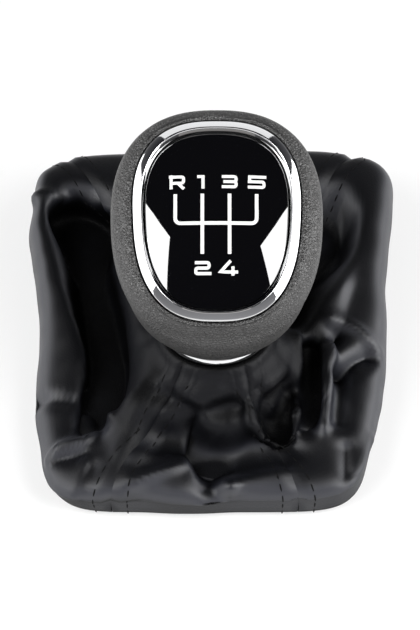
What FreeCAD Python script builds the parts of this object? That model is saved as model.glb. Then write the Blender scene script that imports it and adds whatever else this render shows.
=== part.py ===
import FreeCAD, Part
import math
import os
import Sketcher
from FreeCAD import Placement, Rotation, Vector

# Gear shift knob with its sewn leather gaiter. All lengths are in millimetres.
# The origin is the middle of the gaiter frame's underside. +Z is up, -Y faces the driver.
# The knob is drawn upright along its lever axis and leaned back as a whole at the end.

SIZES = {
    # where the knob stands, and how far its lever leans away from the driver
    "lean_deg": 9.0,
    "foot_x": 2.0,
    "foot_y": -16.5,
    "foot_z": 38.0,
    # fits
    "seat_gap": 0.3,
    "seam_gap": 0.35,
    # head of the knob
    "skin_thick": 2.3,
    "cap_tilt_deg": 33.0,
    "cap_v": -2.9,
    "cap_w": 42.2,
    "bezel_half_w": 23.5,
    "bezel_half_l": 28.9,
    "bezel_high": 1.9,
    "bezel_crest_in": 2.2,
    "bezel_band": 3.2,
    "bezel_inner_high": 0.4,
    "bezel_deep": 1.6,
    "dome_radius": 92.0,
    "dome_top": 3.2,
    "carrier_thick": 2.0,
    "snap_leg_long": 6.5,
    "snap_leg_wide": 5.0,
    # lever sleeve, clamp, collar and neck of the gaiter
    "bore_r": 6.0,
    "bore_len": 40.0,
    "sleeve_wall": 2.6,
    "sleeve_low": 14.0,
    "slot_wide": 1.6,
    "slot_high": 11.0,
    "clamp_thick": 0.7,
    "clamp_high": 5.6,
    "collar_r": 16.0,
    "collar_high": 2.9,
    "spigot_r": 13.9,
    "spigot_wall": 1.0,
    "spigot_high": 3.0,
    "neck_ring_r": 13.4,
    "neck_ring_wall": 1.6,
    "neck_ring_high": 6.2,
    "tie_r": 15.2,
    "tie_thick": 1.1,
    "tie_wide": 3.0,
    # frame, hem retainer and leather
    "frame_half_w": 50.0,
    "frame_half_l": 60.5,
    "frame_taper": 0.06,
    "frame_square": 7.5,
    "frame_wall": 2.2,
    "frame_high": 8.0,
    "lip_wide": 6.0,
    "lip_thick": 1.8,
    "retainer_wall": 2.4,
    "retainer_high": 5.2,
    "hem_high": 4.8,
    "retainer_foot_high": 1.6,
    "retainer_foot_wide": 2.4,
    "peg_r": 1.1,
    "leather_low": 0.4,
    "leather": 1.1,
    "hem_turn": 4.6,
}

doc = FreeCAD.newDocument("gear_knob")
sheet = doc.addObject("Spreadsheet::Sheet", "Sizes")
for row, (alias, value) in enumerate(SIZES.items(), start=1):
    sheet.set("A%d" % row, alias)
    sheet.set("B%d" % row, str(value))
    sheet.setAlias("B%d" % row, alias)
doc.recompute()


def size(alias):
    """The value the sheet holds under an alias."""
    return float(sheet.get(alias))


GAP = size("seat_gap")
FOOT = Vector(size("foot_x"), size("foot_y"), size("foot_z"))
KNOB_PLACE = Placement(FOOT, Rotation(Vector(1, 0, 0), -size("lean_deg")))
CAP_LOCAL = Placement(
    Vector(0, size("cap_v"), size("cap_w")),
    Rotation(Vector(1, 0, 0), size("cap_tilt_deg")),
)
CAP_PLACE = KNOB_PLACE.multiply(CAP_LOCAL)


# Helpers for pieces drawn as sketches in bodies.


def new_body(label, place=Placement()):
    body = doc.addObject("PartDesign::Body", label)
    body.Label = label
    body.Placement = place
    return body


def plane_of(body, role):
    for feature in body.Origin.OriginFeatures:
        if feature.Role == role:
            return feature
    raise ValueError(role)


def new_sketch(body, label, role="XZ_Plane", lift=None):
    """A sketch flat on one of the body's own planes, lifted off it by an expression."""
    sketch = body.newObject("Sketcher::SketchObject", label)
    sketch.AttachmentSupport = [(plane_of(body, role), "")]
    sketch.MapMode = "FlatFace"
    if lift is not None:
        sketch.setExpression("AttachmentOffset.Base.z", lift)
    return sketch


def fix_point(sketch, geo, pos, across, up):
    """Holds a point of the sketch at two distances from the sketch's origin."""
    for kind, text in (("DistanceX", across), ("DistanceY", up)):
        index = sketch.addConstraint(Sketcher.Constraint(kind, geo, pos, 1.0))
        sketch.setExpression("Constraints[%d]" % index, text)


def draw_polygon(sketch, corners):
    """A closed polygon whose corners are pairs of expressions."""
    count = len(corners)
    spread = [
        Vector(30 + 10 * math.cos(2 * math.pi * k / count), 10 * math.sin(2 * math.pi * k / count), 0)
        for k in range(count)
    ]
    first = sketch.GeometryCount
    for k in range(count):
        sketch.addGeometry(Part.LineSegment(spread[k], spread[(k + 1) % count]), False)
    for k in range(count):
        following = first + (k + 1) % count
        sketch.addConstraint(Sketcher.Constraint("Coincident", first + k, 2, following, 1))
    for k, (across, up) in enumerate(corners):
        fix_point(sketch, first + k, 1, across, up)


def draw_circle(sketch, radius, across="0", up="0"):
    """A circle with its radius and centre given as expressions."""
    geo = sketch.addGeometry(Part.Circle(Vector(0, 0, 0), Vector(0, 0, 1), 5.0), False)
    index = sketch.addConstraint(Sketcher.Constraint("Radius", geo, 5.0))
    sketch.setExpression("Constraints[%d]" % index, radius)
    fix_point(sketch, geo, 3, across, up)


def revolve(body, label, corners):
    """Turns a closed profile, given as radius and height, about the body's Z axis."""
    sketch = new_sketch(body, label + "_profile")
    draw_polygon(sketch, corners)
    feature = body.newObject("PartDesign::Revolution", label)
    feature.Profile = sketch
    feature.ReferenceAxis = (sketch, ["V_Axis"])
    feature.Angle = 360.0
    return feature


def pad(body, label, sketch, length, reversed_way=False):
    feature = body.newObject("PartDesign::Pad", label)
    feature.Profile = sketch
    feature.setExpression("Length", length)
    feature.Reversed = reversed_way
    return feature


def pocket(body, label, sketch, length, reversed_way=False):
    feature = body.newObject("PartDesign::Pocket", label)
    feature.Profile = sketch
    feature.setExpression("Length", length)
    feature.Reversed = reversed_way
    return feature


def round_pattern(body, label, original, count):
    """Repeats a feature round the body's Z axis."""
    feature = body.newObject("PartDesign::PolarPattern", label)
    feature.Originals = [original]
    for origin_feature in body.Origin.OriginFeatures:
        if origin_feature.Role == "Z_Axis":
            feature.Axis = (origin_feature, [""])
    feature.Angle = 360.0
    feature.Occurrences = count
    body.Tip = feature
    return feature


# Helpers for free-form pieces, whose outlines come from the formulas below.


def closed_wire(points):
    curve = Part.BSplineCurve()
    curve.interpolate(Points=points, PeriodicFlag=True)
    return Part.Wire([curve.toShape()])


def free_piece(label, shape, place=Placement()):
    piece = doc.addObject("Part::Feature", label)
    piece.Label = label
    piece.Shape = shape
    piece.Placement = place
    return piece


def squared(angle, power):
    """A point of the unit rounded square that the given power makes."""
    c = math.cos(angle)
    s = math.sin(angle)
    x = math.copysign(abs(c) ** (2.0 / power), c)
    y = math.copysign(abs(s) ** (2.0 / power), s)
    return x, y


def egg_wire(inset, height, turns=56):
    """The bezel's egg outline, moved in by inset, at a height over the cap's plane."""
    half_w = size("bezel_half_w") - inset
    half_l = size("bezel_half_l") - inset
    points = []
    for k in range(turns):
        x, y = squared(2 * math.pi * k / turns, 2.6)
        q = half_l * y
        points.append(Vector((half_w + 0.05 * q) * x, q, height))
    return closed_wire(points)


def egg_solid(inset, low, high):
    """A straight block on the egg outline."""
    return Part.Face(egg_wire(inset, low)).extrude(Vector(0, 0, high - low))


# The head is a stack of sections from the foot to the cap's rim.
# Each holds height on the axis, shift to the rear, tilt, half width, half length to the
# front and to the rear, squareness, and how much wider it gets towards the rear.
HEAD_SECTIONS = [
    (0.0, 0.0, 0.0, 16.4, 16.2, 16.4, 2.00, 0.000),
    (1.3, 0.0, 1.0, 18.3, 17.5, 18.3, 2.00, 0.000),
    (5.0, 0.2, 3.0, 21.5, 20.1, 21.2, 2.02, 0.000),
    (11.0, 0.8, 8.0, 24.6, 24.0, 24.6, 2.08, 0.010),
    (18.5, 1.4, 15.0, 26.8, 27.5, 27.2, 2.18, 0.020),
    (25.5, 1.6, 21.0, 28.2, 30.1, 29.6, 2.28, 0.030),
    (31.5, 1.0, 27.0, 29.5, 31.5, 31.8, 2.34, 0.040),
    (36.0, -0.1, 31.0, 29.9, 31.7, 33.4, 2.38, 0.045),
    (39.6, -1.9, 33.0, 29.1, 31.0, 33.5, 2.42, 0.050),
    (42.0, -3.2, 33.0, 25.8, 29.9, 30.8, 2.46, 0.050),
]


def head_wire(section, inset, turns=48):
    w, v, tilt, half_w, front, rear, power, taper = section
    lean = math.radians(tilt)
    points = []
    for k in range(turns):
        x, y = squared(2 * math.pi * k / turns, power)
        reach = (rear if y > 0 else front) - inset
        q = reach * y
        wide = (half_w - inset + taper * q) * x
        points.append(Vector(wide, v + q * math.cos(lean), w + q * math.sin(lean)))
    return closed_wire(points)


def head_solid(inset):
    """The head's outer form, or the same form drawn in by inset on all sides."""
    return Part.makeLoft([head_wire(s, inset) for s in HEAD_SECTIONS], True, False)


def ring_solid(outer, inner, low, high):
    """A plain ring round the lever axis."""
    ring = Part.makeCylinder(outer, high - low, Vector(0, 0, low))
    return ring.cut(Part.makeCylinder(inner, high - low, Vector(0, 0, low)))


def in_cap_frame(shape):
    """Moves a shape drawn over the cap's plane to its place in the knob."""
    moved = shape.copy()
    moved.Placement = CAP_LOCAL.multiply(moved.Placement)
    return moved


SLEEVE_R = size("bore_r") + size("sleeve_wall")
SNAP_SPOTS = [(-13.0, 12.0), (13.0, 12.0), (-12.0, -13.0), (12.0, -13.0)]
SEAT_DEEP = size("bezel_deep") + size("carrier_thick") + 2 * GAP
RECESS_R = size("spigot_r") + GAP
RECESS_IN = size("neck_ring_r") - size("neck_ring_wall") - GAP


def make_grip_shell():
    """The soft grained skin, moulded as one closed shell round the core."""
    skin = head_solid(0).cut(head_solid(size("skin_thick")))
    seat = in_cap_frame(egg_solid(-GAP, -size("bezel_deep") - GAP, 20))
    return skin.cut(seat)


def make_grip_core():
    """The hard core: thick walls with a boss for the sleeve and four ribs, open at the top."""
    above_seat = Part.makeBox(120, 120, 60, Vector(-60, -60, -SEAT_DEEP))
    core = head_solid(size("skin_thick") + GAP).cut(in_cap_frame(above_seat))
    hollow = head_solid(size("skin_thick") + GAP + 3.0)
    hollow = hollow.common(Part.makeBox(90, 90, 60, Vector(-45, -45, 12)))
    hollow = hollow.cut(Part.makeCylinder(SLEEVE_R + 3.2, 90, Vector(0, 0, -5)))
    hollow = hollow.cut(Part.makeBox(90, 2.0, 90, Vector(-45, -1.0, -5)))
    hollow = hollow.cut(Part.makeBox(2.0, 90, 90, Vector(-1.0, -45, -5)))
    core = core.cut(hollow)
    core = core.cut(Part.makeCylinder(SLEEVE_R + GAP, 60, Vector(0, 0, -1)))
    core = core.cut(ring_solid(RECESS_R, RECESS_IN, -1, size("spigot_high") + GAP))
    return core


def make_cap_bezel():
    """The bright trim ring: a broad outer facet, a crest, and a narrow inner facet."""
    crest = size("bezel_crest_in")
    band = size("bezel_band")
    high = size("bezel_high")
    outer = Part.makeLoft(
        [egg_wire(0, -size("bezel_deep")), egg_wire(0, 0.3), egg_wire(crest, high)], True, True
    )
    hole = Part.makeLoft(
        [egg_wire(crest, high + 0.001), egg_wire(band, size("bezel_inner_high")), egg_wire(band, -4)],
        True,
        True,
    )
    return outer.cut(hole)


def make_pattern_cap():
    """The gloss black plate that carries the shift pattern, slightly domed."""
    inset = size("bezel_band") + GAP
    plate = egg_solid(inset, -size("bezel_deep"), size("dome_top") + 1)
    top = size("dome_top")
    dome = Part.makeSphere(size("dome_radius"), Vector(0, 0, top - size("dome_radius")))
    return plate.common(dome)


def make_cap_carrier():
    """The plate under cap and bezel, with four snap legs that reach into the core."""
    high = -size("bezel_deep") - GAP
    low = high - size("carrier_thick")
    carrier = egg_solid(1.2, low, high)
    carrier = carrier.cut(egg_solid(13.0, low - 1, high + 1))
    for x, y in SNAP_SPOTS:
        wide = size("snap_leg_wide")
        long = size("snap_leg_long")
        way = math.copysign(1.0, y)
        leg = Part.makeBox(wide, 1.4, long + 1, Vector(x - wide / 2, y - 0.7, low - long))
        hook = Part.makeBox(wide, 1.0, 1.4, Vector(x - wide / 2, y - 0.5 + way * 0.7, low - long))
        carrier = carrier.fuse(leg).fuse(hook)
    return carrier.removeSplitter()


free_piece("grip_shell", make_grip_shell(), KNOB_PLACE)
free_piece("grip_core", make_grip_core(), KNOB_PLACE)
free_piece("cap_bezel", make_cap_bezel(), CAP_PLACE)
free_piece("pattern_cap", make_pattern_cap(), CAP_PLACE)
free_piece("cap_carrier", make_cap_carrier(), CAP_PLACE)


# Turned and padded pieces on the lever axis. Heights are measured from the head's foot.

collar = new_body("collar_ring", KNOB_PLACE)
revolve(
    collar,
    "collar_turned",
    [
        ("Sizes.spigot_r - Sizes.spigot_wall", "-Sizes.collar_high - Sizes.seat_gap"),
        ("Sizes.collar_r - 0.5", "-Sizes.collar_high - Sizes.seat_gap"),
        ("Sizes.collar_r", "-Sizes.collar_high - Sizes.seat_gap + 0.5"),
        ("Sizes.collar_r", "-Sizes.seat_gap - 0.6"),
        ("Sizes.collar_r - 0.6", "-Sizes.seat_gap"),
        ("Sizes.spigot_r", "-Sizes.seat_gap"),
        ("Sizes.spigot_r", "Sizes.spigot_high - Sizes.seat_gap"),
        ("Sizes.spigot_r - Sizes.spigot_wall", "Sizes.spigot_high - Sizes.seat_gap"),
    ],
)

sleeve = new_body("lever_sleeve", KNOB_PLACE)
revolve(
    sleeve,
    "sleeve_turned",
    [
        ("Sizes.bore_r", "-Sizes.sleeve_low"),
        ("Sizes.bore_r + Sizes.sleeve_wall - 0.4", "-Sizes.sleeve_low"),
        ("Sizes.bore_r + Sizes.sleeve_wall", "-Sizes.sleeve_low + 0.4"),
        ("Sizes.bore_r + Sizes.sleeve_wall", "Sizes.bore_len - Sizes.sleeve_low + 2.5"),
        ("0", "Sizes.bore_len - Sizes.sleeve_low + 2.5"),
        ("0", "Sizes.bore_len - Sizes.sleeve_low"),
        ("Sizes.bore_r", "Sizes.bore_len - Sizes.sleeve_low"),
    ],
)
slot_sketch = new_sketch(sleeve, "slot_outline", "XY_Plane", "-Sizes.sleeve_low")
draw_polygon(
    slot_sketch,
    [
        ("3", "-Sizes.slot_wide / 2"),
        ("14", "-Sizes.slot_wide / 2"),
        ("14", "Sizes.slot_wide / 2"),
        ("3", "Sizes.slot_wide / 2"),
    ],
)
slot = pocket(sleeve, "slot", slot_sketch, "Sizes.slot_high", True)
round_pattern(sleeve, "slots", slot, 4)

clamp = new_body("lever_clamp", KNOB_PLACE)
revolve(
    clamp,
    "clamp_band",
    [
        ("Sizes.bore_r + Sizes.sleeve_wall + 0.1", "1 - Sizes.sleeve_low"),
        ("Sizes.bore_r + Sizes.sleeve_wall + 0.1 + Sizes.clamp_thick", "1 - Sizes.sleeve_low"),
        (
            "Sizes.bore_r + Sizes.sleeve_wall + 0.1 + Sizes.clamp_thick",
            "1 - Sizes.sleeve_low + Sizes.clamp_high",
        ),
        ("Sizes.bore_r + Sizes.sleeve_wall + 0.1", "1 - Sizes.sleeve_low + Sizes.clamp_high"),
    ],
)
ear_sketch = new_sketch(clamp, "ear_outline", "XY_Plane", "1 - Sizes.sleeve_low")
draw_polygon(
    ear_sketch,
    [
        ("-2.2", "Sizes.bore_r + Sizes.sleeve_wall + 0.4"),
        ("2.2", "Sizes.bore_r + Sizes.sleeve_wall + 0.4"),
        ("2.2", "Sizes.bore_r + Sizes.sleeve_wall + 2.4"),
        ("-2.2", "Sizes.bore_r + Sizes.sleeve_wall + 2.4"),
    ],
)
draw_polygon(
    ear_sketch,
    [
        ("-1.4", "Sizes.bore_r + Sizes.sleeve_wall + 1.0"),
        ("1.4", "Sizes.bore_r + Sizes.sleeve_wall + 1.0"),
        ("1.4", "Sizes.bore_r + Sizes.sleeve_wall + 1.7"),
        ("-1.4", "Sizes.bore_r + Sizes.sleeve_wall + 1.7"),
    ],
)
pad(clamp, "ear", ear_sketch, "Sizes.clamp_high")

neck = new_body("neck_ring", KNOB_PLACE)
NECK_TOP = "-Sizes.collar_high - 2 * Sizes.seat_gap"
revolve(
    neck,
    "neck_turned",
    [
        ("Sizes.neck_ring_r - Sizes.neck_ring_wall", NECK_TOP + " - Sizes.neck_ring_high"),
        ("Sizes.neck_ring_r", NECK_TOP + " - Sizes.neck_ring_high"),
        ("Sizes.neck_ring_r", NECK_TOP),
        ("Sizes.neck_ring_r - Sizes.neck_ring_wall", NECK_TOP),
    ],
)
hook_sketch = new_sketch(neck, "hook_outline", "XY_Plane", NECK_TOP + " - 1")
draw_polygon(
    hook_sketch,
    [
        ("Sizes.neck_ring_r - Sizes.neck_ring_wall + 0.1", "-2.5"),
        ("Sizes.spigot_r - Sizes.spigot_wall - Sizes.seat_gap", "-2.5"),
        ("Sizes.spigot_r - Sizes.spigot_wall - Sizes.seat_gap", "2.5"),
        ("Sizes.neck_ring_r - Sizes.neck_ring_wall + 0.1", "2.5"),
    ],
)
hook = pad(neck, "hook", hook_sketch, "Sizes.collar_high + Sizes.spigot_high + 1")
round_pattern(neck, "hooks", hook, 3)

tie = new_body("neck_tie", KNOB_PLACE)
TIE_LOW = "-Sizes.collar_high - 3.4 - Sizes.tie_wide"
revolve(
    tie,
    "tie_band",
    [
        ("Sizes.tie_r", TIE_LOW),
        ("Sizes.tie_r + Sizes.tie_thick", TIE_LOW),
        ("Sizes.tie_r + Sizes.tie_thick", TIE_LOW + " + Sizes.tie_wide"),
        ("Sizes.tie_r", TIE_LOW + " + Sizes.tie_wide"),
    ],
)


# Frame and hem retainer follow the outline of the gaiter's foot.


def foot_radius(angle, inset):
    """Distance from the frame's middle to its outline, moved in by inset."""
    half_w = size("frame_half_w") - inset
    half_l = size("frame_half_l") - inset
    power = size("frame_square")
    low = 0.0
    high = 100.0
    for _ in range(40):
        mid = (low + high) / 2
        x = abs(mid * math.cos(angle))
        y = mid * math.sin(angle)
        wide = half_w + size("frame_taper") * y
        if (x / wide) ** power + abs(y / half_l) ** power > 1:
            high = mid
        else:
            low = mid
    return low


def foot_wire(inset, height, turns=96):
    points = []
    for k in range(turns):
        angle = 2 * math.pi * (k + 0.5) / turns
        reach = foot_radius(angle, inset)
        points.append(Vector(reach * math.cos(angle), reach * math.sin(angle), height))
    return closed_wire(points)


def foot_block(inset, low, high):
    return Part.Face(foot_wire(inset, low)).extrude(Vector(0, 0, high - low))


def foot_band(outer, inner, low, high):
    """A band with the foot's outline between two insets."""
    return foot_block(outer, low, high).cut(foot_block(inner, low - 1, high + 1))


FRAME_OUT = size("leather") + GAP
FRAME_IN = FRAME_OUT + size("frame_wall")
FRAME_LOW = size("leather_low") + size("leather") + 3 * GAP
HEM_OUT = size("hem_turn") - size("leather") / 2
HEM_IN = size("hem_turn") + size("leather") / 2
RETAINER_OUT = HEM_IN + GAP
RETAINER_IN = RETAINER_OUT + size("retainer_wall")
PEG_ANGLES = [25, 65, 115, 155, 205, 245, 295, 335]


def peg_spot(degrees):
    angle = math.radians(degrees)
    reach = foot_radius(angle, (RETAINER_OUT + RETAINER_IN) / 2)
    return reach * math.cos(angle), reach * math.sin(angle)


def make_boot_frame():
    """The moulded frame: an upright wall with a lip turned in along its top."""
    top = size("frame_high")
    lip_in = FRAME_IN + size("lip_wide")
    frame = foot_band(FRAME_OUT, FRAME_IN, FRAME_LOW, top)
    frame = frame.fuse(foot_band(FRAME_OUT, lip_in, top - size("lip_thick"), top))
    for degrees in PEG_ANGLES:
        x, y = peg_spot(degrees)
        hole = Part.makeCylinder(size("peg_r") + GAP, 6, Vector(x, y, top - 4))
        frame = frame.cut(hole)
    return frame.removeSplitter()


def make_hem_retainer():
    """The inner ring that traps the turned-up hem, pegged into the frame's lip."""
    foot_high = size("retainer_foot_high")
    foot_in = RETAINER_IN + size("retainer_foot_wide")
    ring = foot_band(RETAINER_OUT, RETAINER_IN, foot_high, size("retainer_high"))
    ring = ring.fuse(foot_band(RETAINER_OUT, foot_in, 0, foot_high))
    for degrees in PEG_ANGLES:
        x, y = peg_spot(degrees)
        peg = Part.makeCylinder(size("peg_r"), size("frame_high") - 0.4, Vector(x, y, 0.2))
        ring = ring.fuse(peg)
    return ring.removeSplitter()


free_piece("boot_frame", make_boot_frame())
free_piece("hem_retainer", make_hem_retainer())



# The gaiter is one surface, cut along its seams into four panels. A place on it is named by
# an angle round the frame and a step of the path that runs from the hem up to the neck.

NECK_AXIS = KNOB_PLACE.Rotation.multVec(Vector(0, 0, 1))
NECK_MID = FOOT + NECK_AXIS * -12.0
NECK_OUT_R = size("tie_r") + size("tie_thick") + GAP + size("leather") / 2
NECK_IN_R = size("neck_ring_r") + GAP + size("leather") / 2
NECK_TOP_W = -size("collar_high") - 2 * GAP - size("leather") / 2

# Angle round the frame: height of the rolled edge, how far the roll reaches in and up, and
# how far the wall below it swells out.
EDGE_TABLE = [
    (0, 23.0, 9.9, 7.0, 3.9),
    (12, 23.5, 8.2, 7.0, 3.1),
    (25, 24.0, 7.9, 6.5, 3.8),
    (36, 24.8, 8.9, 7.0, 5.0),
    (43, 25.0, 9.8, 7.0, 6.0),
    (47, 25.5, 8.5, 7.0, 4.0),
    (52, 25.5, 8.0, 7.0, 1.0),
    (90, 26.0, 10.0, 8.0, 0.6),
    (122, 24.1, 8.0, 7.0, 0.6),
    (130, 24.0, 7.0, 7.0, 1.0),
    (135, 24.4, 6.0, 7.0, 3.0),
    (144, 24.6, 4.0, 7.0, 3.2),
    (150, 24.0, 5.0, 7.0, 4.5),
    (158, 23.5, 5.3, 7.0, 3.4),
    (167, 22.8, 5.8, 7.5, 2.4),
    (180, 22.0, 8.0, 8.0, 1.7),
    (190, 21.5, 10.8, 8.8, 2.0),
    (203, 20.0, 15.1, 9.5, 3.4),
    (212, 18.5, 17.0, 9.0, 4.0),
    (222, 17.0, 14.9, 8.0, 3.2),
    (230, 16.0, 12.0, 6.8, 3.6),
    (236, 15.0, 9.6, 5.5, 2.6),
    (243, 15.0, 7.0, 5.2, 0.8),
    (250, 15.5, 6.3, 5.2, 0.2),
    (262, 16.0, 7.4, 5.0, 2.2),
    (268, 13.5, 6.2, 4.3, 2.0),
    (277, 13.8, 5.6, 4.6, 0.3),
    (303, 14.0, 7.0, 4.8, 0.0),
    (316, 17.0, 9.0, 7.0, 0.0),
    (323, 18.4, 10.4, 8.0, 1.8),
    (331, 19.6, 11.8, 8.0, 3.2),
    (342, 21.2, 12.4, 8.0, 4.1),
]
CLEAR_Z = size("frame_high") + size("leather") / 2 + 2 * GAP

# Folds of the top: a line over the frame, its height (hollows are negative) and its width.
FOLDS = [
    ([(-42, 33), (-37, 15), (-33, -5), (-31, -22), (-34, -35)], -13.0, 7.5),
    ([(-40, 32), (-20, 27), (0, 27), (20, 32), (36, 36)], -11.0, 8.5),
    ([(45, 30), (38, 22), (26, 8), (24, -4)], -11.0, 6.5),
    ([(47, 14), (36, 0), (30, -6)], 3.5, 5.0),
    ([(47, -11), (37, -13)], -5.0, 3.5),
    ([(29, -18), (29, -34)], -7.0, 3.5),
    ([(34, -16), (33, -36)], 2.5, 3.0),
    ([(22, -29), (19, -40)], -9.0, 4.5),
    ([(16, -31), (11, -38), (12, -44), (19, -46), (24, -42), (26, -31)], 3.0, 2.6),
    ([(-45, -47), (-38, -44), (-29, -41), (-23, -36)], 3.0, 3.5),
    ([(-44, -52), (-36, -50)], -3.0, 4.0),
    ([(-50, -31), (-38, -32)], -2.5, 3.0),
    ([(-8, -35), (-1, -42)], 2.0, 3.0),
    ([(6, -36), (2, -50)], -2.5, 4.0),
    ([(-22, -52), (-6, -53)], 1.5, 4.0),
]


def smooth(x):
    x = min(max(x, 0.0), 1.0)
    return x * x * (3 - 2 * x)


def edge_values(degrees):
    """The table's values at an angle, run smoothly between its rows."""
    degrees %= 360
    rows = EDGE_TABLE + [(360 + EDGE_TABLE[0][0],) + EDGE_TABLE[0][1:]]
    for before, after in zip(rows, rows[1:]):
        if before[0] <= degrees <= after[0]:
            part = smooth((degrees - before[0]) / (after[0] - before[0]))
            return [b + (a - b) * part for b, a in zip(before[1:], after[1:])]
    raise ValueError(degrees)


def line_distance(x, y, line):
    best = 1e9
    for (x0, y0), (x1, y1) in zip(line, line[1:]):
        dx, dy = x1 - x0, y1 - y0
        along = ((x - x0) * dx + (y - y0) * dy) / (dx * dx + dy * dy)
        along = min(max(along, 0.0), 1.0)
        best = min(best, math.hypot(x - x0 - along * dx, y - y0 - along * dy))
    return best


def fold_height(x, y):
    return sum(high * math.exp(-((line_distance(x, y, line) / wide) ** 2)) for line, high, wide in FOLDS)


def foot_point(angle, inset, height):
    reach = foot_radius(angle, inset)
    return Vector(reach * math.cos(angle), reach * math.sin(angle), height)


def neck_point(turn, radius, w):
    """A point of the neck, drawn round the leaned lever axis."""
    ripple = 0.35 * math.cos(11 * turn) + 0.25 * math.cos(17 * turn + 1.0)
    radius += ripple * smooth((-5.0 - w) / 6.0) * smooth((radius - NECK_IN_R) / 2.0)
    local = Vector(radius * math.cos(turn), radius * math.sin(turn), w)
    return KNOB_PLACE.multVec(local)


TOP_STEPS = 11


def gaiter_path(angle):
    """The middle of the leather from the hem inside the frame to its end inside the neck."""
    half = size("leather") / 2
    turn_in = size("hem_turn")
    low = size("leather_low") + half
    edge, roll_in, roll_up, swell = edge_values(math.degrees(angle))
    wall_top = edge - roll_up
    path = [
        foot_point(angle, turn_in, size("hem_high")),
        foot_point(angle, turn_in, low + 2.8),
        foot_point(angle, turn_in, low + 1.6),
        foot_point(angle, turn_in - 0.5, low + 0.4),
        foot_point(angle, (turn_in + half) / 2, low),
        foot_point(angle, half + 0.5 - 0.2 * swell, low + 0.4),
        foot_point(angle, half - 0.35 * swell, low + 1.6),
        foot_point(angle, half - 0.65 * swell, CLEAR_Z / 2 + 1.0),
        foot_point(angle, half - 0.85 * swell, CLEAR_Z),
        foot_point(angle, half - swell, (CLEAR_Z + wall_top) / 2),
    ]
    for degrees in (0, 30, 60, 90):
        turned = math.radians(degrees)
        inset = half - 0.9 * swell + roll_in * (1 - math.cos(turned))
        path.append(foot_point(angle, inset, wall_top + roll_up * math.sin(turned)))
    crest = path[-1]
    outside = foot_point(angle, 0, 0)
    turn = math.atan2(outside.y - NECK_MID.y, outside.x - NECK_MID.x)
    foot = neck_point(turn, NECK_OUT_R + 2.2, -9.5)
    for step in range(1, TOP_STEPS):
        share = step / TOP_STEPS
        point = crest + (foot - crest) * share
        rise = (foot.z - crest.z) * (share ** 1.6 - share)
        hold = smooth(share / 0.2) * smooth((1 - share) / 0.2)
        point.z += rise + hold * fold_height(point.x, point.y)
        point.z = (point.z + CLEAR_Z + math.hypot(point.z - CLEAR_Z, 2.0)) / 2
        path.append(point)
    path.append(foot)
    for radius, w in (
        (NECK_OUT_R + 0.5, -7.4),
        (NECK_OUT_R, NECK_TOP_W - 1.9),
        (NECK_OUT_R - 0.5, NECK_TOP_W - 0.5),
        ((NECK_OUT_R + NECK_IN_R) / 2, NECK_TOP_W),
        (NECK_IN_R + 0.5, NECK_TOP_W - 0.5),
        (NECK_IN_R, NECK_TOP_W - 1.9),
        (NECK_IN_R, NECK_TOP_W - 5.0),
    ):
        path.append(neck_point(turn, radius, w))
    return path


def seam_angle(x):
    """The angle at which a seam crosses the front of the frame at x."""
    return math.atan2(-size("frame_half_l"), x) % (2 * math.pi)


SEAMS = {
    "rear_right": math.radians(52),
    "rear_left": math.radians(128),
    "front_left": seam_angle(-29.0),
    "front_right": seam_angle(26.2),
}


def even_angles(start, end, step):
    """Angles that lie about a step apart along the frame's outline."""
    fine = [start + (end - start) * k / 400 for k in range(401)]
    run = [0.0]
    for before, after in zip(fine, fine[1:]):
        run.append(run[-1] + (foot_point(after, 0, 0) - foot_point(before, 0, 0)).Length)
    count = max(int(round(run[-1] / step)), 4)
    angles = []
    for k in range(count + 1):
        goal = run[-1] * k / count
        place = next(i for i, length in enumerate(run) if length >= goal - 1e-9)
        angles.append(fine[place])
    return angles


def end_weights(count):
    """Knots and their repeats for a cubic run of poles that is held at both ends."""
    spans = count - 3
    knots = [float(k) for k in range(spans + 1)]
    repeats = [4] + [1] * (spans - 1) + [4]
    return knots, repeats


def drawn_out(rows):
    """Moves pull points out by what the smooth face would otherwise fall short across the rows."""
    moved = [rows[0]]
    for before, row, after in zip(rows, rows[1:], rows[2:]):
        moved.append([p - (b - p * 2 + a) / 6 for b, p, a in zip(before, row, after)])
    return moved + [rows[-1]]


def grid_face(rows):
    """A smooth cubic face that is pulled along by a grid of points."""
    across_knots, across_repeats = end_weights(len(rows))
    along_knots, along_repeats = end_weights(len(rows[0]))
    surface = Part.BSplineSurface()
    surface.buildFromPolesMultsKnots(
        rows, across_repeats, along_repeats, across_knots, along_knots, False, False, 3, 3
    )
    return surface.toShape()


def edge_face(outer_run, inner_run):
    """The leather's cut edge, ruled between the same side of both faces."""
    knots, repeats = end_weights(len(outer_run))
    surface = Part.BSplineSurface()
    surface.buildFromPolesMultsKnots(
        [outer_run, inner_run], [2, 2], repeats, [0.0, 1.0], knots, False, False, 1, 3
    )
    return surface.toShape()


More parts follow.
